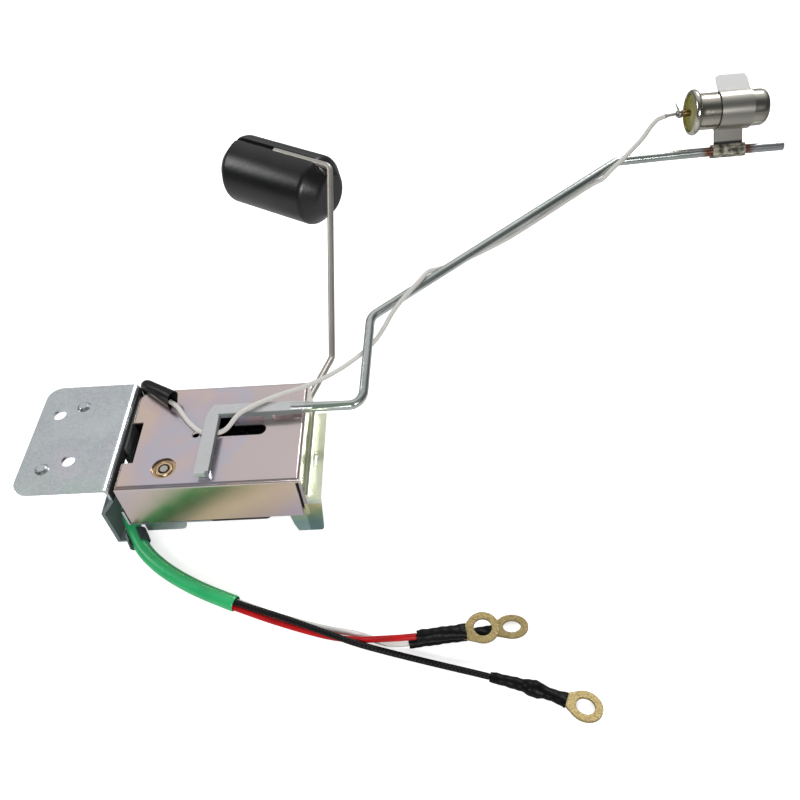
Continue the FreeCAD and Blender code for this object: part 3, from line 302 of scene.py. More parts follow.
scratches, given, result = new_group("scratches", "Height", Vector=ORIGIN,
                                     Stretch=(1.0, 30.0, 30.0), Scale=200.0)
drawn = add(scratches, "Mapping", {"Vector": given["Vector"], "Scale": given["Stretch"]})
lines = add(scratches, "TexNoise",
            {"Vector": drawn.outputs[0], "Scale": given["Scale"], "Detail": 3.0})
scratches.links.new(lines.outputs[0], result)

stain, given, result = new_group("stain", "Mask", Vector=ORIGIN, Centre=ORIGIN,
                                 Radius=0.003, Ragged=0.6)
away = measure(stain, "DISTANCE", given["Vector"], given["Centre"])
share = calc(stain, "DIVIDE", away, given["Radius"])
torn = add(stain, "TexNoise", {"Vector": given["Vector"], "Scale": 900.0, "Detail": 4.0})
reach = calc(stain, "MULTIPLY_ADD", torn.outputs[0], given["Ragged"], share)
stain.links.new(step(stain, reach, 1.4, 0.7), result)

box_mask, given, result = new_group("box_mask", "Mask", Vector=ORIGIN, Centre=ORIGIN,
                                  Half=(0.01, 0.01, 0.01))
from_centre = add(box_mask, "VectorMath", {0: given["Vector"], 1: given["Centre"]},
                  operation="SUBTRACT")
shares = add(box_mask, "VectorMath", {0: from_centre.outputs[0], 1: given["Half"]},
             operation="DIVIDE")
unsigned = add(box_mask, "VectorMath", {0: shares.outputs[0]}, operation="ABSOLUTE")
parts = add(box_mask, "SeparateXYZ", {0: unsigned.outputs[0]})
box_mask.links.new(remap(box_mask, largest(box_mask, parts.outputs[:3]), 1.01, 0.99), result)
print("groups", [g.name for g in bpy.data.node_groups])

# %% [markdown]
# ## Materials
# A helper starts a material with one Principled shader. Constant values go straight onto that
# shader. What varies over the surface is linked to it.

# %% Start a material
def new_material(name, color, rough, metal=0.0, **extra):
    """A material, its tree and shader, and its object-space and UV coordinates."""
    material = bpy.data.materials.new(name)
    material.use_nodes = True
    tree = material.node_tree
    shader = tree.nodes["Principled BSDF"]
    shader.inputs["Base Color"].default_value = (*color, 1)
    shader.inputs["Roughness"].default_value = rough
    shader.inputs["Metallic"].default_value = metal
    for label, value in extra.items():
        shader.inputs[label.replace("_", " ")].default_value = value
    place = add(tree, "TexCoord")
    return material, tree, shader, place.outputs["Object"], place.outputs["UV"]


def use(tree, group, **inputs):
    """Place a node group with its inputs by name, and give back its one output."""
    node = tree.nodes.new("ShaderNodeGroup")
    node.node_tree = group
    return fill(tree, node, inputs).outputs[0]


def blend(tree, mask, a, b):
    """Color a where the mask is 0 and color b where it is 1."""
    colors = [c if isinstance(c, bpy.types.NodeSocket) else (*c, 1) for c in (a, b)]
    return add(tree, "Mix", {0: mask, 6: colors[0], 7: colors[1]}, data_type="RGBA").outputs[2]


def vary_rough(tree, shader, mask, low, high):
    """Roughness low where the mask is 0 and high where it is 1."""
    tree.links.new(remap(tree, mask, to_low=low, to_high=high), shader.inputs["Roughness"])


def bump(tree, shader, height, strength, distance):
    """Fine relief from a height; the distance is in metres."""
    node = add(tree, "Bump", {"Height": height, "Strength": strength, "Distance": distance})
    tree.links.new(node.outputs[0], shader.inputs["Normal"])


def ramp(tree, value, stops):
    """A color for each value, from stops of (value, color)."""
    node = add(tree, "ValToRGB", {0: value})
    while len(node.color_ramp.elements) < len(stops):
        node.color_ramp.elements.new(0.5)
    for element, (place, color) in zip(node.color_ramp.elements, stops):
        element.position = place
        element.color = (*color, 1)
    return node.outputs[0]


# %% [markdown]
# The mounting plate is bright zinc: pale grey with a cool cast, tiny bright spangles and a few
# rub marks. The rod has the same plating with a greener tint, a milkier tone on its flat strip,
# and rust at both ends of the clip's grip. Boxes paint shade where a face looks into a gap, lies
# under another part or turns from the light: dark, rough and bare of metal.

# %% Zinc plating
# Painted shade: the colour of the darkest gaps.
SHADE_BLACK = (0.02, 0.021, 0.021)
RUST = (0.24, 0.07, 0.025)
ZINC_ROUGH = 0.24


def paint_light_and_shade(tree, shader, place, color, boxes, metal=0.9):
    """Paint shade or light in each box with its own colour, and no metal; return the boxes' mask.
    """
    masks = []
    for centre, half, shade in boxes:
        masks.append(use(tree, box_mask, Vector=place, Centre=centre, Half=half))
        color = blend(tree, masks[-1], color, shade)
    depth = largest(tree, masks)
    tree.links.new(remap(tree, depth, to_low=metal, to_high=0.0), shader.inputs["Metallic"])
    return color, depth


def zinc(name, pale, dark, tints, boxes, metal=0.9, sparkle=0.2, rusty=(), milky=()):
    """Clouds of two tones, tinted patches, milky boxes, spangles, rust spots and painted shade
    boxes.
    """
    material, tree, shader, place, _ = new_material(name, pale, ZINC_ROUGH, metal)
    broad = use(tree, clouds, Vector=place, Scale=45.0, Low=0.3, High=0.7)
    color = blend(tree, broad, pale, dark)
    for number, tint in enumerate(tints):
        patch = use(tree, clouds, Vector=place, Scale=24.0 + 17.0 * number, Low=0.45, High=0.8)
        color = blend(tree, patch, color, tint)
    for centre, half, tone in milky:
        strip = use(tree, box_mask, Vector=place, Centre=centre, Half=half)
        color = blend(tree, strip, color, blend(tree, broad, tone, pale))
    grain = add(tree, "TexVoronoi", {"Vector": place, "Scale": 1500.0})
    speck = remap(tree, grain.outputs["Color"], to_high=sparkle)
    color = blend(tree, speck, color, tuple(min(1, c * 1.3) for c in pale))
    for centre, radius in rusty:
        rust = use(tree, stain, Vector=place, Centre=centre, Radius=radius, Ragged=0.7)
        color = blend(tree, rust, color, RUST)
    # Painted shade in the boxes: dark, bare of metal, and rougher.
    color, depth = paint_light_and_shade(tree, shader, place, color, boxes, metal)
    fine = use(tree, scratches, Vector=place, Stretch=(1.0, 14.0, 14.0), Scale=160.0)
    level = remap(tree, fine, to_low=ZINC_ROUGH - 0.03, to_high=ZINC_ROUGH + 0.06)
    tree.links.new(color, shader.inputs["Base Color"])
    tree.links.new(calc(tree, "MULTIPLY_ADD", depth, 0.5, level), shader.inputs["Roughness"])
    return material


# Each box is a centre, half a size and a colour. The tongue is seen through the cover's window;
# it, the clamp and the tongue's foot get painted shade.
TONGUE_SHADE = ((0.026, 0.0, -0.0085), (0.0061, 0.05, 0.0084), SHADE_BLACK)
CLAMP_SHADE = ((0.0155, 0.0, -0.0165), (0.0045, 0.05, 0.0125), (0.16, 0.2, 0.2))
TONGUE_FOOT_SHADE = ((0.026, 0.0, -0.0235), (0.0061, 0.05, 0.0064), (0.045, 0.055, 0.06))
plate_zinc = zinc("zinc plate", (0.64, 0.675, 0.69), (0.46, 0.51, 0.53),
                  [(0.50, 0.65, 0.56), (0.68, 0.60, 0.72)],
                  [TONGUE_SHADE, CLAMP_SHADE, TONGUE_FOOT_SHADE], sparkle=0.45)
# Painted shade on the tray's front edge under the cover's wall, and on its end wall in the window.
TRAY_FRONT_SHADE = ((0.0648, -0.0205, -0.0225), (0.0165, 0.0035, 0.0075), SHADE_BLACK)
TRAY_END_SHADE = ((0.0206, 0.0, -0.0090), (0.0012, 0.0205, 0.0095), (0.09, 0.09, 0.095))
tray_zinc = zinc("tray zinc", (0.68, 0.73, 0.75), (0.46, 0.52, 0.54), [(0.5, 0.56, 0.52)],
                 [TRAY_FRONT_SHADE, TRAY_END_SHADE], metal=0.92)
# Painted shade on the flat strip's sides and corner, and along the rod's front side past the strip.
STRIP_SIDE_SHADES = [((0.0527, -0.0085, 0.0025), (0.0004, 0.0117, 0.003), (0.16, 0.18, 0.18)),
               ((0.068, 0.0033, 0.0025), (0.016, 0.0004, 0.003), (0.2, 0.23, 0.22)),
               ((0.0522, -0.0206, 0.0025), (0.0009, 0.0009, 0.003), (0.2, 0.22, 0.22)),
               ((0.0900, 0.0043, 0.0035), (0.0070, 0.0005, 0.003), (0.16, 0.21, 0.17))]
STRIP_TONE = ((0.0600, -0.0075, 0.0030), (0.0205, 0.0170, 0.0040), (0.74, 0.71, 0.75))
GRIP_ENDS = [((0.2266, 0.0913, 0.0352), 0.0036), ((0.2402, 0.0918, 0.0352), 0.0034)]
rod_zinc = zinc("rod zinc", (0.64, 0.68, 0.66), (0.40, 0.46, 0.42),
                [(0.48, 0.56, 0.47), (0.62, 0.60, 0.66)], STRIP_SIDE_SHADES,
                rusty=GRIP_ENDS, milky=[STRIP_TONE])
print("zinc", [skin.name for skin in (plate_zinc, tray_zinc, rod_zinc)])

# %% [markdown]
# The cover carries a thin passivation film, and its color follows the film's thickness: mauve,
# gold and mauve again across the front wall, a quiet mauve grey on the top, and gold to teal
# down the end lip. The green band across the front wall is a painted reflection of the green
# sleeve in front of it. Each face gets its own color ramp over a distance in the object's space.
# Soft clouds push that distance about, so the bands have the drifting edges of a dipped finish.

# %% Rainbow film on the cover
def band(tree, value, low, high, noise, push, stops):
    """Color stops over a value between two limits, with a noise mask pushing the value about."""
    flat = remap(tree, value, low, high, clamp=False)
    return ramp(tree, calc(tree, "MULTIPLY_ADD", noise, push, flat), stops)


cover_film, tree, shader, place, _ = new_material("cover film", (0.6, 0.55, 0.57), 0.22, 0.9)
axes = add(tree, "SeparateXYZ", {0: place})
along_x, _, height_z = axes.outputs
drift = use(tree, clouds, Vector=place, Scale=42.0, Low=0.2, High=0.8)
small = use(tree, clouds, Vector=place, Scale=150.0, Low=0.3, High=0.7)
slanting = measure(tree, "DOT_PRODUCT", place, (1.0, 0.0, -1.0))
top = band(tree, along_x, 0.02, 0.085, drift, 0.7, [
    (0.0, (0.60, 0.62, 0.56)), (0.22, (0.76, 0.62, 0.53)), (0.42, (0.78, 0.62, 0.54)),
    (0.62, (0.70, 0.59, 0.62)), (0.82, (0.63, 0.60, 0.68)), (1.0, (0.70, 0.60, 0.60))])
# The green stops are a painted reflection of the green sleeve; the mauve and gold are the film's.
wall = band(tree, slanting, 0.019, 0.104, drift, 0.08, [
    (0.0, (0.66, 0.66, 0.66)), (0.12, (0.72, 0.62, 0.64)), (0.22, (0.74, 0.62, 0.58)),
    (0.31, (0.54, 0.52, 0.38)), (0.38, (0.42, 0.50, 0.29)), (0.45, (0.54, 0.54, 0.34)),
    (0.55, (0.80, 0.64, 0.43)), (0.64, (0.82, 0.66, 0.46)), (0.76, (0.72, 0.58, 0.48)),
    (0.88, (0.64, 0.55, 0.62)), (0.97, (0.62, 0.56, 0.66))])
lip = band(tree, height_z, 0.0, -0.028, small, 0.15, [
    (0.0, (0.84, 0.82, 0.72)), (0.2, (0.90, 0.90, 0.70)), (0.42, (0.80, 0.86, 0.64)),
    (0.62, (0.50, 0.60, 0.55)), (0.8, (0.24, 0.36, 0.36)), (1.0, (0.20, 0.24, 0.18))])
foot = band(tree, height_z, -0.014, -0.028, small, 0.2, [
    (0.0, (0.62, 0.55, 0.30)), (0.4, (0.26, 0.34, 0.20)), (0.75, (0.16, 0.28, 0.26)),
    (1.0, (0.20, 0.30, 0.30))])
color = blend(tree, step(tree, height_z, -0.0008, 0.0008), wall, top)
color = blend(tree, step(tree, along_x, 0.0796, 0.0806), color, lip)
grain = use(tree, clouds, Vector=place, Scale=700.0, Low=0.66, High=0.78)
color = blend(tree, grain, color, (0.72, 0.69, 0.67))
# Painted shade inside the cover, along the window's edge and on the corner's cut edge; painted
# light, pale pink, on the lit wall of the round hole.
INSIDE_SHADE = ((0.0508, -0.00135, -0.01358), (0.0286, 0.02055, 0.01446), SHADE_BLACK)
WINDOW_EDGE_SHADE = ((0.0222, -0.001, -0.0085), (0.006, 0.0195, 0.0093), SHADE_BLACK)
HOLE_WALL_LIGHT = ((0.0425, 0.0, 0.00065), (0.004, 0.004, 0.00045), (0.85, 0.72, 0.72))
CORNER_EDGE_SHADE = ((0.0800, -0.0215, -0.0095), (0.0006, 0.0012, 0.0095), (0.34, 0.31, 0.32))
color, _ = paint_light_and_shade(tree, shader, place, color, [INSIDE_SHADE, WINDOW_EDGE_SHADE, HOLE_WALL_LIGHT, CORNER_EDGE_SHADE])
at_foot = use(tree, box_mask, Vector=place, Centre=(0.0802, -0.0194, -0.022),
              Half=(0.0065, 0.0020, 0.009))
color = blend(tree, at_foot, color, foot)
tree.links.new(color, shader.inputs["Base Color"])
vary_rough(tree, shader, small, 0.19, 0.25)
bump(tree, shader, small, 0.012, 0.0003)
print("cover film", len(tree.nodes), "nodes")

# %% [markdown]
# The small metals come next: brass bushes, the nickel-plated arm wire and sensor can, the springy
# wiper, solder, and the tarnished tin on the ring terminals. The top bush has turned rings and a
# dark joint round the arm's pin, so its color follows the distance from the pin's axis.

# %% Small metals
def plain_metal(name, color, dark, rough, scale=120.0, metal=0.95, depth=0.1):
    """Clouds of two tones at a scale, with fine scratches in roughness and relief."""
    material, tree, shader, place, _ = new_material(name, color, rough, metal)
    mask = use(tree, clouds, Vector=place, Scale=scale, Low=0.35, High=0.7)
    tree.links.new(blend(tree, mask, color, dark), shader.inputs["Base Color"])
    fine = use(tree, scratches, Vector=place, Stretch=(6.0, 6.0, 2.0), Scale=260.0)
    vary_rough(tree, shader, fine, rough - 0.03, rough + 0.05)
    bump(tree, shader, fine, depth, 0.0002)
    return material


brass = plain_metal("brass", (0.66, 0.47, 0.26), (0.5, 0.34, 0.17), 0.3,
                    scale=60.0, metal=0.9, depth=0.01)
bush_brass, tree, shader, place, _ = new_material("bush brass", (0.66, 0.47, 0.26), 0.28, 0.9)
PIN_AXIS = (0.0365, -0.01505, 0.0)
level_place = add(tree, "VectorMath", {0: place, 1: (1.0, 1.0, 0.0)}, operation="MULTIPLY")
from_pin = measure(tree, "DISTANCE", level_place.outputs[0], PIN_AXIS)
rings = band(tree, from_pin, 0.0, 0.005, 0.0, 0.0, [
    (0.27, (0.03, 0.02, 0.015)), (0.37, (0.05, 0.03, 0.02)), (0.4, (0.78, 0.58, 0.38)),
    (0.52, (0.7, 0.5, 0.3)), (0.56, (0.12, 0.07, 0.04)), (0.6, (0.55, 0.38, 0.2)),
    (0.8, (0.68, 0.5, 0.3)), (0.93, (0.4, 0.27, 0.14))])
tree.links.new(rings, shader.inputs["Base Color"])
arm_nickel = plain_metal("arm nickel", (0.5, 0.475, 0.43), (0.44, 0.42, 0.385), 0.46,
                         scale=90.0, metal=0.8, depth=0.01)
terminal_metal = plain_metal("terminal brass", (0.32, 0.2, 0.08), (0.14, 0.08, 0.04), 0.35)
solder_metal = plain_metal("solder", (0.5, 0.5, 0.47), (0.25, 0.24, 0.22), 0.3, scale=900.0)
spring_bronze = plain_metal("spring bronze", (0.7, 0.48, 0.28), (0.5, 0.33, 0.18), 0.25)
ring_tin = plain_metal("ring tin", (0.43, 0.34, 0.16), (0.25, 0.185, 0.065), 0.46,
                       scale=2200.0, metal=0.7, depth=0.7)
wound_wire = plain_metal("resistance wire", (0.52, 0.48, 0.42), (0.34, 0.3, 0.26), 0.28)
print("materials so far", len(bpy.data.materials))

# %% [markdown]
# Plastics and rubbers are duller and have no metallic part. Their variation is in roughness and in
# a fine grain that catches the light.

# %% Plastics
def plastic(name, color, shade, rough, grain=500.0, depth=0.1, **extra):
    """Clouds of two tones, with one fine grain in roughness and relief."""
    material, tree, shader, place, _ = new_material(name, color, rough, **extra)
    mask = use(tree, clouds, Vector=place, Scale=90.0, Low=0.35, High=0.7)
    tree.links.new(blend(tree, mask, color, shade), shader.inputs["Base Color"])
    small = add(tree, "TexNoise", {"Vector": place, "Scale": grain, "Detail": 3.0})
    vary_rough(tree, shader, small.outputs[0], rough - 0.1, rough + 0.1)
    bump(tree, shader, small.outputs[0], depth, 0.0003)
    return material


float_black = plastic("float foam skin", (0.008, 0.008, 0.009), (0.013, 0.013, 0.014), 0.32,
                      grain=900.0)
card_brown = plastic("laminate card", (0.3, 0.16, 0.08), (0.22, 0.11, 0.05), 0.5)
frame_dark = plastic("element frame", (0.12, 0.1, 0.08), (0.08, 0.07, 0.055), 0.5)
hub_cream = plastic("hub plastic", (0.68, 0.64, 0.52), (0.58, 0.53, 0.42), 0.45)
seal_resin = plastic("seal resin", (0.32, 0.3, 0.05), (0.42, 0.4, 0.12), 0.25,
                     grain=300.0, depth=0.2)
sleeve_green = plastic("green sleeve", (0.035, 0.50, 0.17), (0.025, 0.42, 0.14), 0.3,
                       grain=200.0, depth=0.06)
sleeve_black = plastic("black sleeve", (0.005, 0.005, 0.005), (0.009, 0.009, 0.009), 0.42,
                       grain=400.0, Specular_IOR_Level=0.25)
wire_red = plastic("red wire", (0.56, 0.006, 0.008), (0.4, 0.005, 0.007), 0.42,
                   grain=300.0, depth=0.08, Specular_IOR_Level=0.3)
wire_white = plastic("white wire", (0.86, 0.85, 0.82), (0.8, 0.79, 0.76), 0.45,
                     grain=300.0, depth=0.08)
shrink_skin = plastic("shrink sleeve", (0.003, 0.003, 0.003), (0.005, 0.005, 0.006), 0.42,
                      grain=250.0, depth=0.5, Specular_IOR_Level=0.14)

# %% [markdown]
# The lead to the sensor is covered in off-white sleeving with fine rings, and the black wire has a
# woven cotton cover. Both patterns follow the wire, so they read its UV map, in millimetres.

# %% Patterns that follow a wire
def woven(name, thread, gap, along, across, strength, rough, bare_from=None, gloss=0.25):
    """Two sets of ridges that cross at a slant; bare strands show past bare_from millimetres."""
    material, tree, shader, _, uv = new_material(name, thread, rough, Specular_IOR_Level=gloss)
    length, girth, _ = add(tree, "SeparateXYZ", {0: uv}).outputs
    turns = []
    for slant in (across, -across):
        phase = calc(tree, "MULTIPLY", length, along)
        phase = calc(tree, "MULTIPLY_ADD", girth, slant, phase)
        turns.append(calc(tree, "SINE", phase))
    height = remap(tree, largest(tree, turns), -1.0, 1.0)
    color = blend(tree, height, gap, thread)
    if bare_from:
        bare = step(tree, length, bare_from, bare_from + 0.3)
        color = blend(tree, bare, color, (0.3, 0.29, 0.27))
    tree.links.new(color, shader.inputs["Base Color"])
    bump(tree, shader, height, strength, 0.0001)
    return material


braid_black = woven("black braid", (0.012, 0.012, 0.012), (0.001, 0.001, 0.001),
                    along=5.2, across=4.2, strength=0.8, rough=0.4, gloss=0.12)
print("materials", len(bpy.data.materials))

# %% [markdown]
# ## The cable on the ground
# A green sleeve holds three wires. It comes from behind the flange, through the clamp, and lies on
# the ground. The wires leave its mouth, cross once and end in ring terminals under shrink sleeves.
# The routes are the same points as in the CAD source. The cords are made first, because their
# place decides what the camera sees.

# %% Routes of the cords, in millimetres
WIRE = 0.95  # radius of a wire
SOCKET = 3.0  # depth of the green sleeve's open mouth
SLEEVE = [(17.65, -6.0, -14.0), (17.65, -13.6, -20.3), (20.0, -20.3, -23.7), (24.0, -27.5, -25.4),
          (31.0, -34.2, -25.6), (39.1, -39.7, -25.6), (48.3, -44.7, -25.6), (58.1, -48.9, -25.6)]
HEADING = np.array([9.8, -4.2, 0.0]) / np.hypot(9.8, 4.2)
ACROSS = np.array([-HEADING[1], HEADING[0], 0.0])


def mouth(side, rise):
    """The bottom of the sleeve's socket and a point as far ahead of its mouth."""
    end = np.array(SLEEVE[-1])
    shift = ACROSS * side + np.array([0, 0, rise])
    return [tuple(end - SOCKET * HEADING + shift), tuple(end + SOCKET * HEADING + shift)]


LOW = GROUND + WIRE
OVER = LOW + 2.2 * WIRE
SHRINKS = {
    "black": [(134.6, -74.7, -26.25), (140.6, -76.5, -26.25), (147.0, -78.6, -26.25),
              (155.2, -82.2, -26.25)],
    "red": [(114.3, -63.7, -21.9), (121.4, -63.3, -21.7), (128.6, -62.7, -21.8)],
    "white": [(111.7, -63.6, -26.25), (120.6, -62.6, -26.25), (129.2, -61.7, -26.15),
              (136.6, -61.1, -26.25)],
}


def run_in(colour):
    """The point four millimetres before the shrink sleeve, in line with it, and its start."""
    first, second = np.array(SHRINKS[colour][:2])
    way = (first - second) / np.linalg.norm(first - second)
    return [tuple(first + 4.0 * way), tuple(first)]


ROUTES = {
    "black": mouth(0.0, 1.17) + [
        (70.4, -53.4, OVER + 0.35), (78.4, -56.4, OVER + 0.1), (88.0, -60.4, OVER + 0.1),
        (97.0, -64.0, LOW + 1.9), (109.4, -67.0, LOW), (120.5, -70.3, LOW + 0.1)],
    "red": mouth(-1.0, -0.5) + [
        (69.2, -54.1, LOW), (78.5, -57.4, LOW), (87.6, -60.3, LOW),
        (96.0, -61.8, LOW + 0.3), (103.4, -63.1, LOW + 3.2)],
    "white": mouth(1.0, -0.5) + [
        (69.0, -51.8, LOW), (78.4, -55.1, LOW), (88.2, -58.0, LOW),
        (96.5, -59.6, LOW), (102.6, -62.4, LOW + 0.2)],
}
for colour in ROUTES:
    ROUTES[colour] += run_in(colour)

# %% Green sleeve with an open mouth
CUT = 0.0002  # metres: how far the rounding of a cut end reaches


def round_tube(name, line, radius, material, nodes, sides, bore=0.0, depth=0.0):
    """A closed round tube with slightly rounded ends, or with a socket in its far end."""
    length = line_length(line)
    run = np.linspace(0.0003, length - 0.0003, max(12, int(length / 0.0008)))
    along = np.r_[0.0, 0.0, run, length]
    width = np.r_[0.0, radius - CUT, np.full(len(run), radius), radius - CUT]
    if bore:
        along = np.r_[along, length, length - CUT, length - depth, length - depth]
        width = np.r_[width, bore + CUT / 2, bore, bore, 0.0]
    else:
        along = np.r_[along, length]
        width = np.r_[width, 0.0]
    return add_piece(name, swept(name, line, along, width, sides), material, nodes)


sleeve_line = spline_line(SLEEVE)
sleeve_piece = round_tube("green_sleeve", sleeve_line, 2.5 * MM, sleeve_green, ("cable_sleeve",),
                          sides=32, bore=2.15 * MM, depth=SOCKET * MM)
print("sleeve", round(line_length(sleeve_line), 4))

# %% [markdown]
# A shrink sleeve hugs what it covers, so it swells over the crimp and is drawn in at its ends. The
# swelling is a profile of radius against distance. Gentle waves round the section make it look
# shrunk by hand, and near the ring it is pressed flat and leans with it. The ring is a copy of the
# CAD node with softened edges.

# %% Wires, shrink sleeves and rings
def ellipse(wide, low, angle):
    """How far a flattened section reaches, as a share of the round one, at each angle."""
    return np.sqrt((wide * np.cos(angle)) ** 2 + (low * np.sin(angle)) ** 2)


PRESSED = 5.0  # millimetres before the ring over which the sleeve turns flat


def shrunk(lean):
    """Lobes for a swept tube: gentle waves, and near its end an ellipse that leans by an angle."""
    def lobes(along, angle):
        s, a = np.meshgrid(along / MM, angle, indexing="ij")
        share = np.clip((s - s.max() + PRESSED) / PRESSED, 0, 1)
        pressed = ellipse(1 + 0.3 * share, 1 - 0.25 * share, a + math.radians(lean))
        return pressed + 0.035 * np.sin(0.9 * s + 2 * a) + 0.03 * np.sin(2.3 * s - a + 1.0)
    return lobes


SHRINK_LEAN = {"black": 14.0, "red": 0.0, "white": 22.0}
SHRINK_PROFILES = {
    "black": [(0.0, 1.3), (1.5, 1.55), (6.5, 1.65), (9.0, 1.7), (10.5, 2.25), (12.0, 2.4),
              (13.5, 2.2), (15.0, 1.75), (18.0, 1.75), (21.0, 1.85)],
    "red": [(0.0, 1.6), (1.5, 1.85), (6.0, 1.95), (9.0, 2.0), (12.0, 1.9), (13.5, 1.85)],
    "white": [(0.0, 1.55), (1.5, 1.7), (7.0, 1.7), (14.0, 1.75), (19.0, 1.75), (24.0, 1.8)],
}
WIRE_SKINS = {"black": braid_black, "red": wire_red, "white": wire_white}
for colour, route in ROUTES.items():
    line = spline_line(route)
    wire = round_tube(colour + "_wire", line, WIRE * MM, WIRE_SKINS[colour],
                      ("wire_" + colour,), sides=16)
    cover_line = spline_line(SHRINKS[colour])
    reach = line_length(cover_line)
    profile = np.array(SHRINK_PROFILES[colour]) * MM
    run = np.linspace(0, reach, 70)
    width = np.interp(run * profile[-1, 0] / reach, profile[:, 0], profile[:, 1])
    sleeve_mesh = swept(colour + "_shrink", cover_line, np.r_[0.0, run, reach],
                        np.r_[0.0, width, 0.0], sides=28, lobes=shrunk(SHRINK_LEAN[colour]))
    sleeve = add_piece(colour + "_shrink", sleeve_mesh, shrink_skin, ("shrink_" + colour,),
                       sharp=60)
    ring = softened("ring_" + colour, ring_tin)
    print(colour, "wire", round(line_length(line), 4), "shrink", round(reach, 4))

# %% [markdown]
# ## The sensor's lead
# The lead starts in a black sleeve that comes up behind the cover, dives under the flat strip,
# crosses over it and winds round the rod to the sensor's pin. It is held all along its way, so it
# is a piece of the part and not a loose cord, but its line is made in the same way. The sleeve's
# mouth is flared and pressed flat, and the lead leaves it low, as in the photo, so its first two
# points are moved down and forward from the sleeve's own line. The lead's last three millimetres
# are bare strands, thinner than the sleeving.

# %% Lead and its black sleeve
LEAD_SLEEVE = [(22.4, 23.2, -8.0), (22.4, 23.2, -3.2), (23.3, 21.1, 2.7), (28.9, 16.2, 3.8),
               (35.2, 11.6, 3.8)]
lead_end = np.array(LEAD_SLEEVE[-1])
lead_way = (lead_end - LEAD_SLEEVE[-2]) / np.linalg.norm(lead_end - LEAD_SLEEVE[-2])
DROP = np.array([0.4, -0.9, -0.8])
LEAD = [tuple(lead_end - 2.0 * lead_way + DROP), tuple(lead_end + 1.6 * lead_way + DROP),
        (38.7, 6.9, 2.7), (42.2, 2.2, 2.16), (46.4, -1.8, 2.06), (50.4, -2.9, 2.06),
        (55.0, -1.5, 2.06), (58.6, 1.5, 5.8), (62.8, 4.9, 5.9), (71.2, 9.8, 5.5),
        (80.7, 13.2, 5.3), (90.7, 17.7, 6.9), (97.5, 22.8, 7.9), (102.9, 27.6, 9.3),
        (106.6, 31.8, 11.6), (110.0, 36.3, 15.4), (114.9, 40.1, 19.3), (119.8, 44.6, 21.5),
        (122.9, 49.4, 21.8), (126.2, 52.7, 19.7), (132.0, 55.2, 19.0), (140.3, 58.8, 20.5),
        (151.0, 62.8, 22.9), (164.0, 70.8, 25.6), (175.6, 78.2, 28.1), (184.6, 83.4, 30.3),
        (187.8, 83.0, 31.9), (190.6, 84.5, 34.8), (195.1, 87.4, 36.9), (198.4, 89.8, 38.9),
        (202.5, 92.7, 41.3), (205.9, 96.1, 44.4), (209.3, 98.4, 46.4), (214.6, 98.6, 46.8)]
lead_sleeve_line = spline_line(LEAD_SLEEVE)
sleeve_reach = line_length(lead_sleeve_line)
run = np.linspace(0.0, sleeve_reach, 40)
flare = 1.95 + 0.75 * np.clip((run / sleeve_reach - 0.35) / 0.65, 0, 1) ** 1.5
MOUTH_DEPTH = 0.0035
inner = [sleeve_reach - CUT, sleeve_reach - MOUTH_DEPTH, sleeve_reach - MOUTH_DEPTH]
along = np.r_[0.0, run, inner]
width = np.r_[0.0, flare, flare[-1] - 0.35, 1.9, 0.0] * MM


def pressed_flat(along, angle):
    """Sections turn from round to a wide and low ellipse as the sleeve nears its mouth."""
    share = np.clip(along / along.max() * 2.0 - 0.7, 0, 1)[:, None]
    return ellipse(1 + 0.26 * share, 1 - 0.24 * share, angle)


lead_sleeve_mesh = swept("lead_sleeve_skin", lead_sleeve_line, along, width, sides=28,
                         lobes=pressed_flat)
add_piece("lead_sleeve_skin", lead_sleeve_mesh, sleeve_black, ("lead_sleeve",))
lead_line = spline_line(LEAD)
reach = line_length(lead_line)
lead_white = woven("ribbed lead", (0.84, 0.82, 0.78), (0.62, 0.6, 0.56), along=9.0, across=0.0,
                   strength=0.3, rough=0.5, bare_from=reach / MM - 3.2)
run = np.linspace(0.0, reach, 500)
width = (0.8 - 0.3 * np.clip((run - reach + 0.0034) / 0.0006, 0, 1)) * MM
lead_mesh = swept("sensor_lead", lead_line, np.r_[0.0, run, reach], np.r_[0.0, width, 0.0],
                  sides=14)
lead_piece = add_piece("sensor_lead", lead_mesh, lead_white, ("thermistor_lead",))
print("lead", round(line_length(lead_line), 4))

# %% [markdown]
# ## Folded sheet metal
# The plate, the tray, the cover and the clip are cut and folded from flat sheet, and the rod is
# flattened at its end. The CAD model has their bends. The softened copies add the rolled-over look
# of a stamped edge. The clip is mottled where it was crimped on the rod and has a black seam above
# the crimp, so its finish follows the distance from the rod's axis. Its flag is painted white and
# bare of metal as a painted highlight. The can has a dark brown line where the clip's edge meets
# it.

# %% Clip and can finish
TAIL = np.array([233.4, 91.4, 35.2])  # a point of the rod's axis inside the clip's grip
tail_yaw, tail_tilt = math.radians(1.93), math.radians(-34.0)
TAIL_WAY = np.array([math.cos(tail_yaw), math.sin(tail_yaw), 0.0])
RISE = np.array([math.sin(tail_yaw) * math.sin(tail_tilt),
                 -math.cos(tail_yaw) * math.sin(tail_tilt), math.cos(tail_tilt)])
CAN_START = TAIL - 10.6 * TAIL_WAY + 14.0 * RISE
axis_level = float(TAIL @ RISE) * MM
clip_edge = float(TAIL @ TAIL_WAY) * MM - 0.0041

clip_nickel, tree, shader, place, _ = new_material("clip nickel", (0.6, 0.59, 0.56), 0.28, 0.88)
distance = measure(tree, "DOT_PRODUCT", place, tuple(RISE))
mottle = use(tree, clouds, Vector=place, Scale=520.0, Low=0.35, High=0.65)
patchy = blend(tree, mottle, (0.10, 0.10, 0.08), (0.72, 0.68, 0.54))
